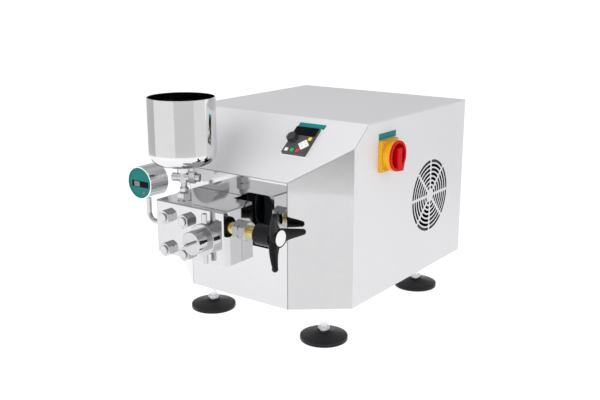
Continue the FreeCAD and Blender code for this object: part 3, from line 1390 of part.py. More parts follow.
def switch_plate():
    """Square yellow base with its round collar, which has a well for the turning cup."""
    half = SWITCH_PLATE / 2
    wall_x = CASE_WIDTH / 2
    front = wall_x + SWITCH_PLATE_THICK
    plate = box(wall_x, front, SWITCH_Y - half, SWITCH_Y + half, SWITCH_Z - half, SWITCH_Z + half)
    plate = plate.makeFillet(2.0, edges_along(plate, X_AXIS, lambda p: True))
    height = SWITCH_BASE_HEIGHT
    profile = [(0, 0), (SWITCH_BASE_RADIUS, 0), (SWITCH_BASE_TOP, height - SWITCH_BASE_EDGE),
               (SWITCH_BASE_TOP - SWITCH_BASE_EDGE, height), (0, height)]
    collar = lathe(profile, V(front, SWITCH_Y, SWITCH_Z), X_AXIS)
    bore_start = V(wall_x, SWITCH_Y, SWITCH_Z)
    bore = cylinder(SWITCH_SHAFT_RADIUS + RUN_FIT, SWITCH_PLATE_THICK + height, bore_start, X_AXIS)
    well_start = V(SWITCH_FACE - SWITCH_CUP_DEPTH - SLIP_GAP, SWITCH_Y, SWITCH_Z)
    well = cylinder(SWITCH_CUP_RADIUS + SLIP_GAP, height, well_start, X_AXIS)
    return plate.fuse(collar).cut(bore).cut(well)


def switch_rim():
    """Flat rim of the turning cup: a disc with one square toe low at its back."""
    face_x = SWITCH_FACE + SLIP_GAP
    disc = cylinder(SWITCH_RIM_RADIUS, SWITCH_RIM_THICK, V(face_x, SWITCH_Y, SWITCH_Z), X_AXIS)
    corners = [(0, 0), (SWITCH_TOE_FRONT, -SWITCH_RIM_RADIUS), (SWITCH_TOE_BACK, -SWITCH_TOE_DROP),
               (SWITCH_RIM_RADIUS, 0)]
    points = [V(face_x, SWITCH_Y + y, SWITCH_Z + z) for y, z in corners]
    toe = Part.Face(Part.makePolygon(points + points[:1])).extrude(V(SWITCH_RIM_THICK, 0, 0))
    return disc.fuse(toe).removeSplitter()


def switch_handle():
    """Turning cup of the isolator: a rim with a toe, a sunk well and a grip that stands in it."""
    face_x = SWITCH_FACE + SLIP_GAP
    floor_x = face_x - SWITCH_CUP_DEPTH
    cup_start = V(floor_x, SWITCH_Y, SWITCH_Z)
    cup = cylinder(SWITCH_CUP_RADIUS, SWITCH_CUP_DEPTH, cup_start, X_AXIS).fuse(switch_rim())
    hollow_radius = SWITCH_CUP_RADIUS - SWITCH_CUP_WALL
    hollow = cylinder(hollow_radius, SWITCH_CUP_DEPTH * 2, cup_start + V(SWITCH_CUP_WALL, 0, 0), X_AXIS)
    left = SWITCH_Y + SWITCH_GRIP_SHIFT - SWITCH_GRIP_WIDTH / 2
    front = face_x + SWITCH_RIM_THICK
    grip = box(floor_x + SWITCH_CUP_WALL, front, left, left + SWITCH_GRIP_WIDTH,
               SWITCH_Z - SWITCH_CUP_RADIUS, SWITCH_Z + SWITCH_GRIP_TOP)
    grip = grip.makeFillet(3.0, [edge for edge in grip.Edges if edge.CenterOfMass.x > front - 0.01])
    shaft_end = CASE_WIDTH / 2 - SHEET - SWITCH_SHAFT_REACH
    shaft_start = V(shaft_end, SWITCH_Y, SWITCH_Z)
    shaft = cylinder(SWITCH_SHAFT_RADIUS, floor_x - shaft_end + SWITCH_SHAFT_SINK, shaft_start, X_AXIS)
    return cup.cut(hollow).fuse([grip.common(hollow), shaft]).removeSplitter()


# Cable gland


def cable_gland():
    """Cable gland of the mains inlet, with its locknut inside as a solid of its own."""
    start = V(GLAND_X, CASE_DEPTH, GLAND_Z)
    bore = CABLE_GLAND_BORE
    hex_part = hex_nut(CABLE_GLAND_FLATS, bore, CABLE_GLAND_HEX, start, Y_AXIS, 0.0)
    radius = CABLE_GLAND_RADIUS
    profile = [(bore, 0), (radius, 0), (radius, CABLE_GLAND_DOME - 6), (radius - 3, CABLE_GLAND_DOME - 1),
               (bore + 1, CABLE_GLAND_DOME), (bore, CABLE_GLAND_DOME)]
    dome = lathe(profile, start + V(0, CABLE_GLAND_HEX, 0), Y_AXIS)
    thread = tube(CABLE_THREAD_RADIUS, bore, SHEET + CABLE_NUT_THICK + 1, start, -Y_AXIS)
    nut_start = start - V(0, SHEET, 0)
    nut_bore = CABLE_THREAD_RADIUS + BORE_FIT
    nut = hex_nut(CABLE_GLAND_FLATS, nut_bore, CABLE_NUT_THICK, nut_start, -Y_AXIS, 0.0)
    return Part.Compound([hex_part.fuse([dome, thread]), nut])


def main():
    os.makedirs("parts", exist_ok=True)
    save("base_tray", base_tray())
    save("top_cover", roof())
    save("front_panel", front_panel())
    save("side_panels", side_panels())
    save("rear_panel", rear_panel())
    save("cable_gland", cable_gland())
    save("foot_pads", foot_pads())
    save("foot_stems", foot_stems())
    save("foot_nuts", foot_nuts())
    save("pump_block", pump_block())
    save("block_studs", block_studs())
    save("block_nuts", block_nuts())
    save("distance_piece", distance_piece())
    save("plunger_packing", plunger_packing())
    save("gland_nut", gland_nut())
    save("plunger", plunger())
    save("crosshead", crosshead())
    save("crankcase", crankcase())
    save("crankcase_lid", crankcase_lid())
    save("crank_bearings", crank_bearings())
    save("crankshaft", crankshaft())
    save("connecting_rod", connecting_rod())
    save("wrist_pin", wrist_pin())
    save("crank_pulley", pulley(CRANK_PULLEY_RADIUS, JOURNAL_RADIUS + BORE_FIT, CRANK_Y, CRANK_Z))
    save("motor_pulley", pulley(MOTOR_PULLEY_RADIUS, MOTOR_SHAFT_RADIUS + BORE_FIT, MOTOR_Y, MOTOR_Z))
    save("drive_belt", drive_belt())
    save("motor_body", motor_body())
    save("motor_shaft", motor_shaft())
    save("drive_inverter", drive_inverter())
    save("fan_frame", fan_frame())
    save("fan_rotor", fan_rotor())
    save("outlet_housing", outlet_housing())
    save("outlet_spout", outlet_spout())
    save("clamp_screws", clamp_screws())
    save("valve_seat", valve_seat())
    save("impact_ring", impact_ring())
    save("valve_nut", valve_nut())
    save("spindle_bush", spindle_bush())
    save("valve_rod", valve_rod())
    save("disc_springs", disc_springs())
    save("star_handle", star_handle())
    save("inlet_stem", inlet_stem())
    save("inlet_tee", inlet_tee())
    save("tee_plugs", tee_plugs())
    save("hopper", hopper())
    save("check_seats", check_seats())
    save("check_balls", check_balls())
    save("check_springs", check_springs())
    save("gauge_body", gauge_body())
    save("gauge_face", gauge_face())
    save("gauge_pipe", gauge_pipe())
    save("keypad_body", keypad_body())
    save("keypad_knob", keypad_knob())
    for name in key_places():
        save(name + "_key", keypad_key(name))
    save("navigator_pad", keypad_navigator())
    save("switch_plate", switch_plate())
    save("switch_handle", switch_handle())


main()
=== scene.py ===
import bpy
import bmesh
import math
from mathutils import Matrix, Vector


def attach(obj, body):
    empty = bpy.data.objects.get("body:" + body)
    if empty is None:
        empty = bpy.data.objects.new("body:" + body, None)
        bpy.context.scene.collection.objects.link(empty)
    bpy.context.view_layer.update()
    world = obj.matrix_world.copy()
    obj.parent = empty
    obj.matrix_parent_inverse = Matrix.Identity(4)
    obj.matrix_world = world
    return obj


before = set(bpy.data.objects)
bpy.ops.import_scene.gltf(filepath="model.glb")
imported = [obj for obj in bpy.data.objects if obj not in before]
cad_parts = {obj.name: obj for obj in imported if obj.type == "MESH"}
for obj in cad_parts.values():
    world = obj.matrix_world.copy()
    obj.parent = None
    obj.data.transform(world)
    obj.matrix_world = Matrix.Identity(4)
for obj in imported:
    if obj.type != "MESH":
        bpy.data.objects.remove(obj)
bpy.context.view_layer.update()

# Sizes in millimetres in the machine's own frame, as in the part's source:
# X to the right, Y to the back from the front sheet, Z up from the cabinet's underside.
# The keypad's centres are on its own plane, and a screw is given as radius and height.
ORIGIN = Vector((13.4, 185.0, -82.0))
MM = 0.001
CASE_HEIGHT = 345.0
FRONT_HEIGHT = 246.0
CREASE_DEPTH = 122.5
SLOPE_ANGLE = math.atan2(CASE_HEIGHT - FRONT_HEIGHT, CREASE_DEPTH)
SLOPE_OUT = Vector((0, -math.sin(SLOPE_ANGLE), math.cos(SLOPE_ANGLE)))
SIDE_X = 215.0
FOLD_X = 120.0
BACK_Y = 525.0
PAD_CENTRE = (98.5, 95.5)
PAD_THICK = 6.0
PAD_LENGTH = 67.3
PAD_WIDTH = 54.3
NAVIGATOR_CENTRE = (13.0, -10.0)
KNOB_CENTRE = (-17.0, 0.5)
RIB_CIRCLE = 10.2
RIB_COUNT = 26
GAUGE_CENTRE = (-145.0, 229.0)
GAUGE_FRONT = -111.0
GAUGE_FACE = GAUGE_FRONT + 2.0
GAUGE_DISPLAY_Z = GAUGE_CENTRE[1] - 2.5
BLOCK_RIGHT = 65.0
HUB_START = 35.0
HUB_LENGTH = 35.0
BOSS_LENGTH = 14.0
HANDLE_FACE = BLOCK_RIGHT + HUB_START + HUB_LENGTH + BOSS_LENGTH
VALVE_AXIS = (-58.0, 160.5)
SWITCH_CENTRE = (189.0, 278.0)
SWITCH_PLATE_THICK = 8.0
SWITCH_SCREW_REACH = 24.5
SWITCH_SCREW = (2.2, 1.3)
REAR_SCREW = (4.0, 2.4)
REAR_SCREW_COLUMNS = (-201.0, -67.0, 67.0, 201.0)
REAR_SCREW_ROWS = (14.0, 331.0)
REAR_SCREW_MIDDLE = 172.0
HOPPER_CENTRE = (-54.0, -85.0)
FOIL_THICK = 0.9
FOIL_EDGE = 0.25

# Edges that bend more than SHARP_ANGLE stay sharp, and the bevels sit on them.
# Faces that bend less than FLAT_ANGLE count as one flat face.
SHARP_ANGLE = math.radians(32)
FLAT_ANGLE = math.radians(0.4)
WELD_DISTANCE = 0.004
GRAIN_DEPTH = 0.4


def at(x, y, z):
    """Point of the machine's frame in the row frame, in metres."""
    return (Vector((x, y, z)) - ORIGIN) * MM


def frame_matrix(origin, right, up, out):
    """Matrix from a drawing plane in millimetres to the row frame in metres."""
    place = Matrix((right, up, out)).transposed().to_4x4()
    scale = Matrix.Scale(MM, 4)
    return Matrix.Translation(origin) @ place @ scale


def slope_plane(x=PAD_CENTRE[0], s=PAD_CENTRE[1], height=0.0):
    """Drawing plane on the sloped panel: X right, Y up the slope, Z out of it."""
    up = Vector((0, math.cos(SLOPE_ANGLE), math.sin(SLOPE_ANGLE)))
    point = Vector((x, 0, FRONT_HEIGHT)) + up * s + SLOPE_OUT * height
    return frame_matrix(at(*point), Vector((1, 0, 0)), up, SLOPE_OUT)


def right_wall_plane(y, z, x=SIDE_X):
    """Drawing plane that faces right, on the right wall or at x: X to the back, Y up, Z out to the right."""
    return frame_matrix(at(x, y, z), Vector((0, 1, 0)), Vector((0, 0, 1)), Vector((1, 0, 0)))


def front_plane(x, y, z):
    """Drawing plane that faces the front: X right, Y up, Z towards the viewer."""
    return frame_matrix(at(x, y, z), Vector((1, 0, 0)), Vector((0, 0, 1)), Vector((0, -1, 0)))


def back_plane(x, y, z):
    """Drawing plane on the rear sheet: X to the left, Y up, Z out to the back."""
    return frame_matrix(at(x, y, z), Vector((-1, 0, 0)), Vector((0, 0, 1)), Vector((0, 1, 0)))


# Finishes


def mapped(nodes, links, value, low, high, to_low, to_high):
    """Range mapping node from a socket, and the socket it gives."""
    step = nodes.new("ShaderNodeMapRange")
    step.inputs["From Min"].default_value = low
    step.inputs["From Max"].default_value = high
    step.inputs["To Min"].default_value = to_low
    step.inputs["To Max"].default_value = to_high
    links.new(value, step.inputs["Value"])
    return step.outputs["Result"]


def worked_out(nodes, links, operation, first, second):
    """Math node on a socket and a number or a second socket, and the socket it gives."""
    step = nodes.new("ShaderNodeMath")
    step.operation = operation
    links.new(first, step.inputs[0])
    if isinstance(second, float):
        step.inputs[1].default_value = second
    else:
        links.new(second, step.inputs[1])
    return step.outputs["Value"]


def finish(name, light, dark, metallic, rough, grain, bump=0.0, stretch=(1, 1, 1), coat=0.0, spread=0.08,
           cloud=14.0, cloud_share=0.5, specular=0.5):
    """Surface with two close shades, uneven gloss and a fine grain, all from Object coordinates."""
    mat = bpy.data.materials.new(name)
    mat.use_nodes = True
    nodes = mat.node_tree.nodes
    links = mat.node_tree.links
    shader = nodes["Principled BSDF"]
    shader.inputs["Metallic"].default_value = metallic
    shader.inputs["Coat Weight"].default_value = coat
    shader.inputs["Specular IOR Level"].default_value = specular
    shader.inputs["Coat Roughness"].default_value = 0.08
    coords = nodes.new("ShaderNodeTexCoord")
    mapping = nodes.new("ShaderNodeMapping")
    mapping.inputs["Scale"].default_value = stretch
    links.new(coords.outputs["Object"], mapping.inputs["Vector"])
    fine = nodes.new("ShaderNodeTexNoise")
    fine.inputs["Scale"].default_value = grain
    fine.inputs["Detail"].default_value = 5.0
    fine.inputs["Roughness"].default_value = 0.6
    links.new(mapping.outputs["Vector"], fine.inputs["Vector"])
    broad = nodes.new("ShaderNodeTexNoise")
    broad.inputs["Scale"].default_value = cloud
    broad.inputs["Detail"].default_value = 3.0
    links.new(coords.outputs["Object"], broad.inputs["Vector"])
    blend = nodes.new("ShaderNodeMix")
    blend.inputs["Factor"].default_value = cloud_share
    links.new(fine.outputs["Fac"], blend.inputs["A"])
    links.new(broad.outputs["Fac"], blend.inputs["B"])
    spreader = mapped(nodes, links, blend.outputs["Result"], 0.32, 0.68, 0.0, 1.0)
    shade = nodes.new("ShaderNodeMix")
    shade.data_type = "RGBA"
    shade.inputs["A"].default_value = (*dark, 1)
    shade.inputs["B"].default_value = (*light, 1)
    links.new(spreader, shade.inputs["Factor"])
    links.new(shade.outputs["Result"], shader.inputs["Base Color"])
    gloss = mapped(nodes, links, broad.outputs["Fac"], 0.3, 0.7, max(rough - spread, 0.02), rough + spread)
    links.new(gloss, shader.inputs["Roughness"])
    if bump > 0:
        relief = nodes.new("ShaderNodeBump")
        relief.inputs["Strength"].default_value = bump
        relief.inputs["Distance"].default_value = GRAIN_DEPTH * MM
        links.new(fine.outputs["Fac"], relief.inputs["Height"])
        links.new(relief.outputs["Normal"], shader.inputs["Normal"])
    return mat


def thread_grooves(mat, axis, pitch_mm, strength):
    """Adds the fine parallel grooves of a screw thread along one axis to a finish."""
    nodes = mat.node_tree.nodes
    links = mat.node_tree.links
    shader = nodes["Principled BSDF"]
    coords = nodes.new("ShaderNodeTexCoord")
    wave = nodes.new("ShaderNodeTexWave")
    wave.bands_direction = axis
    wave.wave_profile = "TRI"
    wave.inputs["Scale"].default_value = math.pi / (10 * pitch_mm * MM)
    links.new(coords.outputs["Object"], wave.inputs["Vector"])
    relief = nodes.new("ShaderNodeBump")
    relief.inputs["Strength"].default_value = strength
    relief.inputs["Distance"].default_value = pitch_mm * MM * 0.4
    links.new(wave.outputs["Fac"], relief.inputs["Height"])
    links.new(relief.outputs["Normal"], shader.inputs["Normal"])
    return mat


def darkened(mat, factor):
    """Multiplies a finish's colour by the shade that a socket gives."""
    nodes = mat.node_tree.nodes
    links = mat.node_tree.links
    shader = nodes["Principled BSDF"]
    darken = nodes.new("ShaderNodeMix")
    darken.data_type = "RGBA"
    darken.blend_type = "MULTIPLY"
    darken.inputs["Factor"].default_value = 1.0
    links.new(shader.inputs["Base Color"].links[0].from_socket, darken.inputs["A"])
    links.new(factor, darken.inputs["B"])
    links.new(darken.outputs["Result"], shader.inputs["Base Color"])


def beyond_side(nodes, links, half_width):
    """Socket with the distance beyond a plane on either side of the cabinet's middle, in metres."""
    split = nodes.new("ShaderNodeSeparateXYZ")
    links.new(nodes.new("ShaderNodeTexCoord").outputs["Object"], split.inputs["Vector"])
    offset = worked_out(nodes, links, "SUBTRACT", split.outputs["X"], at(0.0, 0.0, 0.0).x)
    offset = worked_out(nodes, links, "ABSOLUTE", offset, 0.0)
    return worked_out(nodes, links, "SUBTRACT", offset, half_width * MM)


def painted_fold_shade(mat):
    """Painted shade: a fine dark line along the two folds of the bent front sheet, and a slightly darker
    painted shade on the side faces beyond them.
    """
    nodes = mat.node_tree.nodes
    links = mat.node_tree.links
    beyond = beyond_side(nodes, links, FOLD_X)
    away = worked_out(nodes, links, "ABSOLUTE", beyond, 0.0)
    # Painted shade in a line along each fold, and painted shade on the side faces beyond the folds.
    crease_painted_shade = mapped(nodes, links, away, 0.0004, 0.0011, 0.42, 1.0)
    facet_painted_shade = mapped(nodes, links, beyond, -0.0004, 0.0004, 1.0, 0.86)
    darkened(mat, worked_out(nodes, links, "MULTIPLY", crease_painted_shade, facet_painted_shade))


def cut_edge_shade(mat):
    """Paints shade on the cover's cut edge below the slope's face, up to the flat top."""
    nodes = mat.node_tree.nodes
    links = mat.node_tree.links
    coords = nodes.new("ShaderNodeTexCoord")
    split = nodes.new("ShaderNodeSeparateXYZ")
    links.new(coords.outputs["Object"], split.inputs["Vector"])
    height = nodes.new("ShaderNodeVectorMath")
    height.operation = "DOT_PRODUCT"
    height.inputs[1].default_value = SLOPE_OUT
    links.new(coords.outputs["Object"], height.inputs[0])
    face = SLOPE_OUT.dot(at(0.0, 0.0, FRONT_HEIGHT))
    depth = worked_out(nodes, links, "SUBTRACT", height.outputs["Value"], face)
    # Painted shade on the cut edge below the slope's face.
    edge = mapped(nodes, links, depth, -0.0005, -0.0001, 0.52, 1.0)
    low = at(0.0, 0.0, CASE_HEIGHT - 3.0).z
    high = at(0.0, 0.0, CASE_HEIGHT - 1.0).z
    top = mapped(nodes, links, split.outputs["Z"], low, high, 0.0, 1.0)
    darkened(mat, worked_out(nodes, links, "MAXIMUM", edge, top))


def slot_edge_shade(mat):
    """Darkens the side sheets below their outer face with painted shade, so the cut edges of the grille's
    slots look dark as if in shade.
    """
    nodes = mat.node_tree.nodes
    links = mat.node_tree.links
    depth = beyond_side(nodes, links, SIDE_X)
    # Painted shade on the slot walls and the inner faces below the sheet's outer face.
    darkened(mat, mapped(nodes, links, depth, -0.0005, -0.0002, 0.06, 1.0))


def satin_sheet(name):
    """Brushed sheet steel of the cabinet."""
    return finish(name, (0.72, 0.72, 0.735), (0.68, 0.68, 0.695), 0.10, 0.40, 700.0, 0.04,
                  stretch=(1, 0.05, 1), spread=0.04, cloud=3.0)


SATIN_CASE = satin_sheet("satin_case_sheet")
COVER_SATIN = satin_sheet("satin_cover_sheet")
# The cover's finish gets painted shade on its cut edge below the slope.
cut_edge_shade(COVER_SATIN)
SIDE_SATIN = satin_sheet("satin_side_sheet")
# The side sheets' finish gets painted shade below their outer face, in the grille's slots.
slot_edge_shade(SIDE_SATIN)
MIRROR_FRONT = finish("mirror_front_sheet", (0.68, 0.68, 0.69), (0.65, 0.65, 0.66), 1.0, 0.05, 60.0,
                      spread=0.02, cloud=7.0)
# The front sheet's finish gets painted shade along its folds and on its side faces.
painted_fold_shade(MIRROR_FRONT)
MIRROR_BLOCK = finish("polished_pump_block", (0.66, 0.66, 0.67), (0.61, 0.61, 0.62), 1.0, 0.05, 2600.0, 0.004,
                      spread=0.02, cloud=25.0)
HOPPER_STEEL = finish("spun_hopper_steel", (0.78, 0.78, 0.79), (0.73, 0.73, 0.74), 1.0, 0.06, 900.0, 0.006,
                      stretch=(0.08, 0.08, 1), spread=0.02, cloud=12.0)
TURNED_STEEL = finish("turned_steel", (0.61, 0.61, 0.62), (0.52, 0.52, 0.53), 1.0, 0.09, 2200.0, 0.012,
                      spread=0.04, cloud=60.0)
STUD_STEEL = thread_grooves(finish("threaded_stud_steel", (0.66, 0.66, 0.67), (0.56, 0.56, 0.57), 1.0, 0.2,
                                   900.0, spread=0.05), "Y", 2.0, 0.6)
STEM_STEEL = thread_grooves(finish("threaded_stem_steel", (0.90, 0.90, 0.91), (0.84, 0.84, 0.85), 1.0, 0.22,
                                   900.0, spread=0.05), "Z", 2.0, 0.15)
FOOT_NUT_STEEL = finish("zinc_foot_nuts", (0.78, 0.78, 0.79), (0.66, 0.66, 0.66), 1.0, 0.25, 400.0, 0.05)
TRAY_STEEL = finish("galvanised_tray", (0.62, 0.63, 0.65), (0.50, 0.51, 0.53), 0.9, 0.42, 90.0, 0.03,
                    cloud=40.0)
BRASS = finish("turned_brass", (1.0, 0.84, 0.34), (0.90, 0.72, 0.24), 1.0, 0.17, 600.0, 0.04,
               stretch=(1, 0.1, 0.1), cloud=60.0)
HANDLE_BLACK = finish("moulded_handle_black", (0.010, 0.010, 0.011), (0.005, 0.005, 0.006), 0.0, 0.24, 900.0,
                      0.05, spread=0.05, cloud=40.0, specular=0.16)
FOOT_BLACK = finish("moulded_foot_black", (0.010, 0.010, 0.011), (0.005, 0.005, 0.006), 0.0, 0.40, 700.0,
                    0.10, spread=0.08, cloud=30.0, specular=0.25)
FAN_BLACK = finish("fan_black", (0.02, 0.02, 0.021), (0.01, 0.01, 0.01), 0.0, 0.5, 500.0, 0.12)
MACHINE_ENAMEL = finish("blue_grey_enamel", (0.16, 0.21, 0.26), (0.11, 0.15, 0.19), 0.0, 0.4, 260.0, 0.3,
                        cloud=20.0)
MOTOR_ALUMINIUM = finish("cast_motor_aluminium", (0.60, 0.61, 0.63), (0.46, 0.47, 0.49), 0.85, 0.45, 300.0,
                         0.25)
BELT_RUBBER = finish("belt_rubber", (0.03, 0.03, 0.03), (0.014, 0.014, 0.014), 0.0, 0.65, 800.0, 0.3)
DRIVE_PLASTIC = finish("drive_housing_grey", (0.10, 0.11, 0.13), (0.06, 0.07, 0.09), 0.0, 0.48, 500.0, 0.15)
SEAL_CREAM = finish("sealing_ring_cream", (0.82, 0.78, 0.66), (0.70, 0.66, 0.54), 0.0, 0.5, 400.0, 0.1)
PLUNGER_WHITE = finish("ceramic_plunger", (0.88, 0.87, 0.84), (0.80, 0.79, 0.76), 0.0, 0.12, 600.0, 0.02,
                       coat=0.3)
KEYPAD_GREY = finish("keypad_dark_grey", (0.085, 0.085, 0.090), (0.062, 0.062, 0.066), 0.0, 0.42, 900.0, 0.08,
                     spread=0.05, cloud=80.0, specular=0.2)
KNOB_GREY = finish("knob_grey", (0.055, 0.055, 0.058), (0.034, 0.034, 0.036), 0.0, 0.32, 900.0, 0.08,
                   cloud=90.0, specular=0.2)
KEY_WHITE = finish("key_white", (0.86, 0.86, 0.84), (0.76, 0.76, 0.74), 0.0, 0.35, 800.0, 0.05, cloud=150.0)
KEY_GREEN = finish("key_green", (0.02, 0.50, 0.13), (0.01, 0.38, 0.09), 0.0, 0.32, 800.0, 0.05, cloud=150.0)
KEY_RED = finish("key_red", (0.78, 0.03, 0.04), (0.60, 0.015, 0.02), 0.0, 0.32, 800.0, 0.05, cloud=150.0)
KEY_YELLOW = finish("key_yellow", (0.90, 0.74, 0.05), (0.78, 0.60, 0.03), 0.0, 0.32, 800.0, 0.05, cloud=150.0)
MARK_GREEN = finish("navigator_marks", (0.62, 0.68, 0.10), (0.50, 0.56, 0.06), 0.0, 0.4, 800.0, 0.04,
                    cloud=150.0)
TEAL_FOIL = finish("teal_foil", (0.003, 0.145, 0.130), (0.002, 0.118, 0.106), 0.0, 0.42, 700.0, 0.03,
                   spread=0.05, cloud=60.0, specular=0.18)
LABEL_TEAL = finish("teal_label_foil", (0.003, 0.225, 0.226), (0.002, 0.190, 0.192), 0.0, 0.42, 700.0, 0.03,
                    spread=0.05, cloud=60.0, specular=0.18)
SWITCH_YELLOW = finish("switch_yellow", (0.80, 0.41, 0.020), (0.70, 0.34, 0.014), 0.0, 0.34, 900.0, 0.05,
                       spread=0.05, cloud=50.0, specular=0.15)
SWITCH_RED = finish("switch_red", (0.64, 0.001, 0.004), (0.52, 0.001, 0.003), 0.0, 0.28, 900.0, 0.05,
                    spread=0.05, cloud=50.0, specular=0.10)
DISPLAY_DARK = finish("dark_display_glass", (0.008, 0.008, 0.009), (0.004, 0.004, 0.005), 0.0, 0.16, 300.0,
                      spread=0.02, cloud=60.0, specular=0.04)
DISPLAY_BAND = finish("display_light_band", (0.17, 0.18, 0.18), (0.10, 0.107, 0.107), 0.0, 0.14, 600.0,
                      spread=0.04, cloud=120.0)
CAP_WHITE = finish("cap_disc_white", (0.87, 0.87, 0.86), (0.80, 0.80, 0.79), 0.0, 0.3, 700.0, 0.04,
                   cloud=90.0)
BEZEL_WHITE = finish("gauge_bezel_white", (0.90, 0.90, 0.90), (0.80, 0.80, 0.80), 0.3, 0.22, 600.0, 0.03)
SCREW_STEEL = finish("small_screw_steel", (0.72, 0.72, 0.73), (0.58, 0.58, 0.59), 1.0, 0.24, 900.0, 0.05)


# How the CAD nodes are dressed: finish, bevel width in millimetres


DRESS = {
    "base_tray": (TRAY_STEEL, 0.4), "top_cover": (COVER_SATIN, 0.25), "front_panel": (MIRROR_FRONT, 0.5),
    "side_panels": (SIDE_SATIN, 0.25), "rear_panel": (SATIN_CASE, 0.4), "cable_gland": (FAN_BLACK, 0.4),
    "foot_pads": (FOOT_BLACK, 1.2), "foot_stems": (STEM_STEEL, 0.3), "foot_nuts": (FOOT_NUT_STEEL, 0.2),
    "pump_block": (MIRROR_BLOCK, 0.5), "block_studs": (STUD_STEEL, 0.6), "block_nuts": (TURNED_STEEL, 0.25),
    "distance_piece": (MIRROR_BLOCK, 0.6), "plunger_packing": (SEAL_CREAM, 0.0),
    "gland_nut": (TURNED_STEEL, 0.3), "plunger": (PLUNGER_WHITE, 0.0), "crosshead": (TURNED_STEEL, 0.5),
    "crankcase": (MACHINE_ENAMEL, 1.5), "crankcase_lid": (MACHINE_ENAMEL, 0.5),
    "crank_bearings": (TURNED_STEEL, 0.3),
    "crankshaft": (TURNED_STEEL, 0.5), "connecting_rod": (MACHINE_ENAMEL, 0.8),
    "wrist_pin": (TURNED_STEEL, 0.3), "crank_pulley": (MACHINE_ENAMEL, 0.5),
    "motor_pulley": (MACHINE_ENAMEL, 0.5), "drive_belt": (BELT_RUBBER, 0.4),
    "motor_body": (MOTOR_ALUMINIUM, 0.4), "motor_shaft": (TURNED_STEEL, 0.4),
    "drive_inverter": (DRIVE_PLASTIC, 0.8), "fan_frame": (FAN_BLACK, 0.5), "fan_rotor": (FAN_BLACK, 0.2),
    "outlet_housing": (TURNED_STEEL, 0.4), "outlet_spout": (TURNED_STEEL, 0.4),
    "clamp_screws": (TURNED_STEEL, 0.5), "valve_seat": (TURNED_STEEL, 0.0),
    "impact_ring": (TURNED_STEEL, 0.0), "valve_nut": (TURNED_STEEL, 0.25),
    "spindle_bush": (BRASS, 0.6), "valve_rod": (TURNED_STEEL, 0.3), "disc_springs": (TURNED_STEEL, 0.0),
    "star_handle": (HANDLE_BLACK, 1.5), "inlet_stem": (TURNED_STEEL, 0.25), "inlet_tee": (TURNED_STEEL, 0.5),
    "tee_plugs": (TURNED_STEEL, 0.3), "hopper": (HOPPER_STEEL, 0.35), "check_seats": (TURNED_STEEL, 0.0),
    "check_balls": (TURNED_STEEL, 0.0), "check_springs": (TURNED_STEEL, 0.0),
    "gauge_body": (HOPPER_STEEL, 0.5), "gauge_face": (TEAL_FOIL, 0.2),
    "gauge_pipe": (TURNED_STEEL, 0.0), "keypad_body": (KEYPAD_GREY, 0.3),
    "keypad_knob": (KNOB_GREY, 0.3), "white_key": (KEY_WHITE, 0.2), "green_key": (KEY_GREEN, 0.2),
    "red_key": (KEY_RED, 0.2), "yellow_key": (KEY_YELLOW, 0.2), "navigator_pad": (KEY_WHITE, 0.2),
    "switch_plate": (SWITCH_YELLOW, 0.6), "switch_handle": (SWITCH_RED, 1.0),
}


def shade_by_angle_tree(limit):
    """Node tree that smooths faces and keeps the edges sharper than a limit."""
    tree = bpy.data.node_groups.new("shade_by_angle", "GeometryNodeTree")
    tree.interface.new_socket("Geometry", in_out="INPUT", socket_type="NodeSocketGeometry")
    tree.interface.new_socket("Geometry", in_out="OUTPUT", socket_type="NodeSocketGeometry")
    nodes = tree.nodes
    source = nodes.new("NodeGroupInput")
    result = nodes.new("NodeGroupOutput")
    faces = nodes.new("GeometryNodeSetShadeSmooth")
    faces.domain = "FACE"
    edges = nodes.new("GeometryNodeSetShadeSmooth")
    edges.domain = "EDGE"
    edges.inputs["Shade Smooth"].default_value = False
    angle = nodes.new("GeometryNodeInputMeshEdgeAngle")
    compare = nodes.new("FunctionNodeCompare")
    compare.operation = "GREATER_THAN"
    compare.inputs["B"].default_value = limit
    tree.links.new(angle.outputs["Unsigned Angle"], compare.inputs["A"])
    tree.links.new(source.outputs["Geometry"], faces.inputs["Geometry"])
    tree.links.new(faces.outputs["Geometry"], edges.inputs["Geometry"])
    tree.links.new(compare.outputs["Result"], edges.inputs["Selection"])
    tree.links.new(edges.outputs["Geometry"], result.inputs["Geometry"])
    return tree


def dress_cad_nodes():
    """Gives each CAD node its finish, welded smooth faces and small edge bevels."""
    shading = shade_by_angle_tree(SHARP_ANGLE)
    for name, (mat, width) in DRESS.items():
        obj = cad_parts[name]
        for part in obj.material_slots:
            part.link = "OBJECT"
            part.material = mat
        weld = obj.modifiers.new("weld", "WELD")
        weld.merge_threshold = WELD_DISTANCE * MM
        if width > 0:
            flat = obj.modifiers.new("flat faces", "DECIMATE")
            flat.decimate_type = "DISSOLVE"
            flat.angle_limit = FLAT_ANGLE
            bevel = obj.modifiers.new("edge bevel", "BEVEL")
            bevel.width = width * MM
            bevel.segments = 2
            bevel.limit_method = "ANGLE"
            bevel.angle_limit = SHARP_ANGLE
            bevel.use_clamp_overlap = True
            bevel.harden_normals = False
        smooth = obj.modifiers.new("shade by angle", "NODES")
        smooth.node_group = shading
        level = obj.modifiers.new("flat faces stay flat", "WEIGHTED_NORMAL")
        level.mode = "FACE_AREA"
        level.weight = 75
        level.keep_sharp = True


# Mesh making


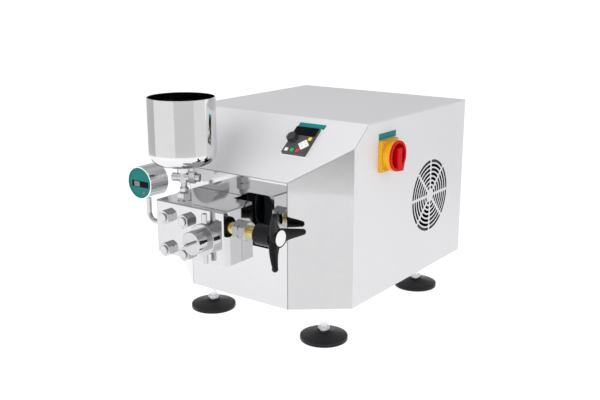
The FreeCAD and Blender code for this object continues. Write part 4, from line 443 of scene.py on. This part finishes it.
def finished(name, mesh_data, mat, body):
    """Wraps a bmesh as a piece of the object that rides on a body."""
    mesh = bpy.data.meshes.new(name)
    bmesh.ops.recalc_face_normals(mesh_data, faces=mesh_data.faces)
    mesh_data.to_mesh(mesh)
    mesh_data.free()
    mesh.shade_smooth()
    mesh.set_sharp_from_angle(angle=SHARP_ANGLE)
    mesh.materials.append(mat)
    obj = bpy.data.objects.new(name, mesh)
    bpy.context.scene.collection.objects.link(obj)
    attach(obj, body)


def rounded_outline(width, height, radius, steps=6):
    """Corner points of a rounded rectangle about the origin, counter-clockwise."""
    points = []
    for index, (sx, sy) in enumerate(((1, 1), (-1, 1), (-1, -1), (1, -1))):
        centre = (sx * (width / 2 - radius), sy * (height / 2 - radius))
        for step in range(steps + 1):
            angle = math.radians(90 * index + 90 * step / steps)
            points.append((centre[0] + radius * math.cos(angle), centre[1] + radius * math.sin(angle)))
    return points


def raised(outline, low, high, edge, plane):
    """Prism over an outline, with its upper edge bevelled, placed by a plane's matrix."""
    data = bmesh.new()
    verts = [data.verts.new((x, y, low)) for x, y in outline]
    base = data.faces.new(verts)
    lifted = bmesh.ops.extrude_face_region(data, geom=[base])
    top_verts = [item for item in lifted["geom"] if isinstance(item, bmesh.types.BMVert)]
    bmesh.ops.translate(data, verts=top_verts, vec=(0, 0, high - low))
    top = [face for face in data.faces if all(abs(v.co.z - high) < 1e-6 for v in face.verts)]
    if edge > 0:
        bmesh.ops.bevel(data, geom=list(top[0].edges), offset=edge, segments=3, affect="EDGES", profile=0.5)
    data.transform(plane)
    return data


def lathed(profile, plane, steps=64):
    """Closed body of revolution about the plane's Z axis from (radius, height) points."""
    data = bmesh.new()
    rings = []
    for radius, height in profile:
        if radius < 1e-6:
            rings.append([data.verts.new((0, 0, height))])
            continue
        ring = []
        for step in range(steps):
            angle = 2 * math.pi * step / steps
            ring.append(data.verts.new((radius * math.cos(angle), radius * math.sin(angle), height)))
        rings.append(ring)
    for lower, upper in zip(rings, rings[1:]):
        for step in range(steps):
            after = (step + 1) % steps
            if len(lower) == 1 and len(upper) == 1:
                continue
            if len(lower) == 1:
                data.faces.new((lower[0], upper[after], upper[step]))
            elif len(upper) == 1:
                data.faces.new((lower[step], lower[after], upper[0]))
            else:
                data.faces.new((lower[step], lower[after], upper[after], upper[step]))
    data.transform(plane)
    return data


# Pieces that only the scene has


def label_plates():
    """Two bare teal plates: one above the keypad, one above the isolator."""
    slope = slope_plane(99.75, 136.95)
    plate = raised(rounded_outline(60.5, 11.1, 1.0), 0.0, FOIL_THICK, FOIL_EDGE, slope)
    finished("slope_label_plate", plate, LABEL_TEAL, "machine")
    wall = right_wall_plane(190.3, 315.0)
    plate = raised(rounded_outline(62.6, 12.0, 1.0), 0.0, FOIL_THICK, FOIL_EDGE, wall)
    finished("isolator_label_plate", plate, LABEL_TEAL, "machine")


def keypad_display():
    """Display glass at the upper end of the keypad."""
    glass = [(x, y + 22.2) for x, y in rounded_outline(52.4, 20.6, 1.2)]
    finished("keypad_display", raised(glass, 0.02, 0.28, 0.1, slope_plane(height=PAD_THICK)), DISPLAY_DARK,
             "machine")


def keypad_seat_frame():
    """Light frame on the slope round the foot of the keypad."""
    outer = rounded_outline(PAD_WIDTH + 4.1, PAD_LENGTH + 4.1, 2.4)
    inner = rounded_outline(PAD_WIDTH, PAD_LENGTH, 1.2)
    data = bmesh.new()
    rows = []
    for points, height in ((outer, -0.05), (outer, 0.55), (inner, 0.8), (inner, -0.05)):
        rows.append([data.verts.new((x, y, height)) for x, y in points])
    count = len(outer)
    for first, second in zip(rows, rows[1:] + rows[:1]):
        for index in range(count):
            after = (index + 1) % count
            data.faces.new((first[index], first[after], second[after], second[index]))
    data.transform(slope_plane())
    finished("keypad_seat_frame", data, KEY_WHITE, "machine")


def navigator_marks():
    """Four arrow heads on the navigator pad."""
    marks = bmesh.new()
    for turn in range(4):
        angle = math.radians(90 * turn)
        corners = []
        for height in (1.35, 1.62):
            ring = []
            for px, py in ((7.6, 0.0), (4.6, 2.1), (4.6, -2.1)):
                x = px * math.cos(angle) - py * math.sin(angle) + NAVIGATOR_CENTRE[0]
                y = px * math.sin(angle) + py * math.cos(angle) + NAVIGATOR_CENTRE[1]
                ring.append(marks.verts.new((x, y, height)))
            corners.append(ring)
        marks.faces.new(corners[0])
        marks.faces.new(corners[1])
        for index in range(3):
            after = (index + 1) % 3
            marks.faces.new((corners[0][index], corners[0][after], corners[1][after], corners[1][index]))
    marks.transform(slope_plane(height=PAD_THICK))
    finished("navigator_arrows", marks, MARK_GREEN, "navigator_button")


def gauge_trim():
    """Bezel ring, dark display with a light band, and the small red mark."""
    plane = front_plane(GAUGE_CENTRE[0], GAUGE_FRONT, GAUGE_CENTRE[1])
    ring = [(31.5, -1.6), (31.5, -0.2), (31.0, 0.3), (30.0, 0.35), (29.2, -0.4), (29.2, -1.9), (30.2, -1.9),
            (31.5, -1.6)]
    finished("gauge_bezel_ring", lathed(ring, plane, 96), BEZEL_WHITE, "machine")
    face = front_plane(GAUGE_CENTRE[0], GAUGE_FACE, GAUGE_DISPLAY_Z)
    glass = raised(rounded_outline(43.0, 12.0, 0.5), 0.02, 0.30, 0.1, face)
    finished("gauge_display_glass", glass, DISPLAY_DARK, "machine")
    band = front_plane(GAUGE_CENTRE[0] - 8.5, GAUGE_FACE, GAUGE_DISPLAY_Z)
    strip = raised(rounded_outline(14.0, 9.6, 0.4), 0.26, 0.36, 0.04, band)
    finished("gauge_display_band", strip, DISPLAY_BAND, "machine")
    dot = front_plane(GAUGE_CENTRE[0] + 8.9, GAUGE_FACE, GAUGE_CENTRE[1] - 18.4)
    finished("gauge_red_mark", lathed([(0, 0), (1.5, 0), (1.5, 0.3), (1.1, 0.5), (0, 0.5)], dot, 24), KEY_RED,
             "machine")


def handle_cap():
    """White cap disc in a raised black ring on the star handle's nose."""
    plane = right_wall_plane(*VALVE_AXIS, HANDLE_FACE)
    ring = [(17.3, -2.0), (17.3, 0.4), (16.7, 1.1), (15.4, 1.2), (14.8, 0.7), (14.8, -2.0), (17.3, -2.0)]
    finished("handle_nose_ring", lathed(ring, plane, 72), HANDLE_BLACK, "handle")
    disc = [(0, -0.5), (14.6, -0.5), (14.6, 0.7), (14.1, 1.1), (0, 1.5)]
    finished("handle_cap_disc", lathed(disc, plane, 72), CAP_WHITE, "handle")


def screw_tree():
    """Scatter of screw heads on the points of a mesh, as one realized mesh."""
    tree = bpy.data.node_groups.new("panel_screws", "GeometryNodeTree")
    tree.interface.new_socket("Geometry", in_out="INPUT", socket_type="NodeSocketGeometry")
    head = tree.interface.new_socket("Head", in_out="INPUT", socket_type="NodeSocketObject")
    skin = tree.interface.new_socket("Finish", in_out="INPUT", socket_type="NodeSocketMaterial")
    tree.interface.new_socket("Geometry", in_out="OUTPUT", socket_type="NodeSocketGeometry")
    nodes = tree.nodes
    source = nodes.new("NodeGroupInput")
    result = nodes.new("NodeGroupOutput")
    points = nodes.new("GeometryNodeMeshToPoints")
    info = nodes.new("GeometryNodeObjectInfo")
    place = nodes.new("GeometryNodeInstanceOnPoints")
    real = nodes.new("GeometryNodeRealizeInstances")
    paint = nodes.new("GeometryNodeSetMaterial")
    tree.links.new(source.outputs["Geometry"], points.inputs["Mesh"])
    tree.links.new(source.outputs["Head"], info.inputs["Object"])
    tree.links.new(points.outputs["Points"], place.inputs["Points"])
    tree.links.new(info.outputs["Geometry"], place.inputs["Instance"])
    tree.links.new(place.outputs["Instances"], real.inputs["Geometry"])
    tree.links.new(real.outputs["Geometry"], paint.inputs["Geometry"])
    tree.links.new(source.outputs["Finish"], paint.inputs["Material"])
    tree.links.new(paint.outputs["Geometry"], result.inputs["Geometry"])
    return tree, head.identifier, skin.identifier


def socket_head(radius, height, plane_turn):
    """Button head with a hexagon socket, standing on the origin along the turned Z axis."""
    data = bmesh.new()
    rows = []
    sides = 24
    angles = [2 * math.pi * k / sides for k in range(sides)]
    for r, z in ((radius, 0.0), (radius, height * 0.45), (radius * 0.82, height * 0.86),
                 (radius * 0.55, height)):
        rows.append([data.verts.new((r * math.cos(angle), r * math.sin(angle), z)) for angle in angles])
    hexes = []
    for z in (height, height * 0.35):
        ring = []
        for angle in angles:
            reach = radius * 0.42 * math.cos(math.pi / 6) / math.cos((angle % (math.pi / 3)) - math.pi / 6)
            ring.append(data.verts.new((reach * math.cos(angle), reach * math.sin(angle), z)))
        hexes.append(ring)
    rows += hexes
    for lower, upper in zip(rows, rows[1:]):
        for k in range(sides):
            after = (k + 1) % sides
            data.faces.new((lower[k], lower[after], upper[after], upper[k]))
    data.faces.new(rows[0])
    data.faces.new(rows[-1])
    bmesh.ops.recalc_face_normals(data, faces=data.faces)
    data.transform(plane_turn)
    mesh = bpy.data.meshes.new("screw_head_shape")
    data.to_mesh(mesh)
    data.free()
    return bpy.data.objects.new("screw_head_shape", mesh)


def scatter_screws(name, places, plane_of, radius, height, body):
    """Same screw at each place, made by the screw tree and kept as one plain mesh."""
    turn = plane_of(0, 0, 0).to_3x3().to_4x4()
    head = socket_head(radius, height, turn)
    points = bpy.data.meshes.new(name + "_points")
    points.from_pydata([at(*place) for place in places], [], [])
    carrier = bpy.data.objects.new(name + "_points", points)
    bpy.context.scene.collection.objects.link(carrier)
    tree, head_id, skin_id = screw_tree()
    scatter = carrier.modifiers.new("panel screws", "NODES")
    scatter.node_group = tree
    scatter[head_id] = head
    scatter[skin_id] = SCREW_STEEL
    settled = carrier.evaluated_get(bpy.context.evaluated_depsgraph_get())
    mesh = bpy.data.meshes.new_from_object(settled)
    mesh.name = name
    bpy.data.objects.remove(carrier)
    bpy.data.objects.remove(head)
    mesh.shade_smooth()
    mesh.set_sharp_from_angle(angle=SHARP_ANGLE)
    obj = bpy.data.objects.new(name, mesh)
    bpy.context.scene.collection.objects.link(obj)
    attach(obj, body)


def panel_screws():
    """Ten screws of the rear sheet and four of the isolator's plate."""
    rear = [(x, BACK_Y, z) for x in REAR_SCREW_COLUMNS for z in REAR_SCREW_ROWS]
    rear += [(x, BACK_Y, REAR_SCREW_MIDDLE) for x in (REAR_SCREW_COLUMNS[0], REAR_SCREW_COLUMNS[-1])]
    scatter_screws("rear_panel_screws", rear, back_plane, *REAR_SCREW, "machine")
    y, z = SWITCH_CENTRE
    reach = (-SWITCH_SCREW_REACH, SWITCH_SCREW_REACH)
    plate = [(SIDE_X + SWITCH_PLATE_THICK, y + a, z + b) for a in reach for b in reach]
    scatter_screws("switch_plate_screws", plate, lambda a, b, c: right_wall_plane(b, c, a), *SWITCH_SCREW,
                   "machine")


def knob_ribs():
    """Grip ribs round the keypad's knob."""
    data = bmesh.new()
    plane = slope_plane(height=PAD_THICK + 0.3)
    for index in range(RIB_COUNT):
        angle = 2 * math.pi * index / RIB_COUNT
        rib = bmesh.ops.create_cone(data, cap_ends=True, segments=6, radius1=0.62, radius2=0.42, depth=6.4)
        lift = Matrix.Translation((KNOB_CENTRE[0] + RIB_CIRCLE * math.cos(angle),
                                   KNOB_CENTRE[1] + RIB_CIRCLE * math.sin(angle), 6.8))
        bmesh.ops.transform(data, matrix=lift, verts=rib["verts"])
    data.transform(plane)
    finished("knob_grip_ribs", data, KNOB_GREY, "knob")


# Studio


# Places on the sky from straight down, 0, over the horizon, 0.5, to straight up, 1, and their brightness.
SKY_STOPS = ((0.0, 1.0), (0.56, 1.05), (0.60, 0.78), (0.70, 0.62), (0.74, 0.42), (0.84, 0.42),
             (0.87, 0.55), (1.0, 0.55))
# Start and end angle of each board from the camera's direction in degrees, and its brightness.
BOARDS = (("board_far_left", -178, -102, 0.56), ("board_left", -102, -25, 0.92),
          ("board_behind_camera", -25, 40, 0.70), ("board_right", 40, 82, 0.84),
          ("board_far_right", 99, 128, 0.46))
BOARD_DISTANCE = 1.25
BOARD_LOW = 0.01
BOARD_HIGH = 0.70
BOARD_STEPS = 8
# Name, place and aim in metres, size in metres and power in watts of each lamp.
LAMPS = (("top_softbox", (0.2, -0.3, 2.6), (0.0, 0.0, 0.2), 2.6, 2.0),
         ("front_softbox", (0.0, -2.8, 1.25), (0.0, -0.1, 0.3), 2.6, 58.0),
         ("left_softbox", (-2.2, -1.6, 1.6), (0.0, -0.1, 0.2), 1.8, 14.0),
         ("right_softbox", (2.4, 0.4, 1.5), (0.1, 0.1, 0.2), 1.8, 10.0))
FLOOR_REACH = 14.0
FLOOR_GLOW = 0.86
# Camera: place and aim in the machine's frame in millimetres, focal length and width in the photograph's
# pixels, sensor width in millimetres.
CAMERA_PLACE = (1017.0, -1189.0, 606.5)
CAMERA_AIM = (149.0, 0.0, 218.0)
CAMERA_FOCAL_PIXELS = 848.7
PICTURE_WIDTH = 600.0
SENSOR_WIDTH = 36.0


def sky_shades(world):
    """World that is white along the horizon and the floor's edge, greyer higher up, and a little lighter
    again overhead.
    """
    world.use_nodes = True
    nodes = world.node_tree.nodes
    links = world.node_tree.links
    background = nodes["Background"]
    background.inputs["Strength"].default_value = 1.0
    coords = nodes.new("ShaderNodeTexCoord")
    split = nodes.new("ShaderNodeSeparateXYZ")
    links.new(coords.outputs["Generated"], split.inputs["Vector"])
    level = mapped(nodes, links, split.outputs["Z"], -1.0, 1.0, 0.0, 1.0)
    ramp = nodes.new("ShaderNodeValToRGB")
    ramp.color_ramp.elements[0].position = SKY_STOPS[0][0]
    ramp.color_ramp.elements[1].position = SKY_STOPS[-1][0]
    for place, shade in SKY_STOPS[1:-1]:
        ramp.color_ramp.elements.new(place)
    for element, (place, shade) in zip(ramp.color_ramp.elements, SKY_STOPS):
        element.color = (shade, shade, shade * 1.01, 1)
    links.new(level, ramp.inputs["Fac"])
    links.new(ramp.outputs["Color"], background.inputs["Color"])


def board_paint(name, shade):
    """Matt paint that glows evenly on the upper part of a board and brighter towards the floor."""
    mat = finish(name + "_paint", (0.03, 0.03, 0.03), (0.02, 0.02, 0.02), 0.0, 0.9, 3.0, specular=0.0)
    nodes = mat.node_tree.nodes
    links = mat.node_tree.links
    split = nodes.new("ShaderNodeSeparateXYZ")
    links.new(nodes.new("ShaderNodeTexCoord").outputs["Object"], split.inputs["Vector"])
    glow = mapped(nodes, links, split.outputs["Z"], 0.02, 0.15, min(1.05, shade + 0.33), shade)
    links.new(glow, nodes["Principled BSDF"].inputs["Emission Strength"])
    nodes["Principled BSDF"].inputs["Emission Color"].default_value = (1, 1, 1, 1)
    return mat


def reflector_cards():
    """Grey boards round the machine, which only its polished metal sees."""
    centre = at(*HOPPER_CENTRE, 0.0)
    facing = math.atan2(CAMERA_PLACE[1] - HOPPER_CENTRE[1], CAMERA_PLACE[0] - HOPPER_CENTRE[0])
    for name, start, end, shade in BOARDS:
        rows = []
        faces = []
        for step in range(BOARD_STEPS + 1):
            angle = facing + math.radians(start + (end - start) * step / BOARD_STEPS)
            x = centre.x + BOARD_DISTANCE * math.cos(angle)
            y = centre.y + BOARD_DISTANCE * math.sin(angle)
            rows += [(x, y, BOARD_LOW), (x, y, BOARD_HIGH)]
        for step in range(BOARD_STEPS):
            low = step * 2
            faces.append((low, low + 2, low + 3, low + 1))
        mesh = bpy.data.meshes.new(name)
        mesh.from_pydata(rows, [], faces)
        mesh.materials.append(board_paint(name, shade))
        board = bpy.data.objects.new(name, mesh)
        bpy.context.scene.collection.objects.link(board)
        board.visible_camera = False
        board.visible_diffuse = False
        board.visible_shadow = False


def studio_floor():
    """White floor that glows a little, as a bright sheet of studio paper."""
    mesh = bpy.data.meshes.new("studio_floor")
    reach = FLOOR_REACH
    mesh.from_pydata([(-reach, -reach, 0), (reach, -reach, 0), (reach, reach, 0), (-reach, reach, 0)], [],
                     [(0, 1, 2, 3)])
    mat = finish("studio_floor_white", (0.36, 0.36, 0.36), (0.34, 0.34, 0.34), 0.0, 0.6, 3.0, spread=0.02,
                 specular=0.1)
    mat.node_tree.nodes["Principled BSDF"].inputs["Emission Color"].default_value = (1, 1, 1, 1)
    mat.node_tree.nodes["Principled BSDF"].inputs["Emission Strength"].default_value = FLOOR_GLOW
    mesh.materials.append(mat)
    floor = bpy.data.objects.new("studio_floor", mesh)
    bpy.context.scene.collection.objects.link(floor)


def studio_lamps():
    """Soft area lamps that light the object and don't show in its polished metal."""
    for name, place, aim, size, power in LAMPS:
        data = bpy.data.lights.new(name, "AREA")
        data.shape = "SQUARE"
        data.size = size
        data.energy = power
        lamp = bpy.data.objects.new(name, data)
        lamp.location = place
        lamp.visible_glossy = False
        lamp.rotation_euler = (Vector(aim) - Vector(place)).to_track_quat("-Z", "Y").to_euler()
        bpy.context.scene.collection.objects.link(lamp)


def photo_camera():
    """Camera where the photograph was taken from."""
    data = bpy.data.cameras.new("photo_camera")
    data.sensor_width = SENSOR_WIDTH
    data.lens = CAMERA_FOCAL_PIXELS / PICTURE_WIDTH * SENSOR_WIDTH
    camera = bpy.data.objects.new("photo_camera", data)
    place = at(*CAMERA_PLACE)
    camera.location = place
    camera.rotation_euler = (at(*CAMERA_AIM) - place).to_track_quat("-Z", "Y").to_euler()
    bpy.context.scene.collection.objects.link(camera)
    bpy.context.scene.camera = camera


def studio():
    """Pale floor, soft light and the camera."""
    bpy.context.scene.view_settings.view_transform = "Standard"
    studio_floor()
    world = bpy.data.worlds.new("studio_world")
    sky_shades(world)
    bpy.context.scene.world = world
    reflector_cards()
    studio_lamps()
    photo_camera()


studio()
dress_cad_nodes()
label_plates()
keypad_display()
keypad_seat_frame()
navigator_marks()
gauge_trim()
handle_cap()
panel_screws()
knob_ribs()
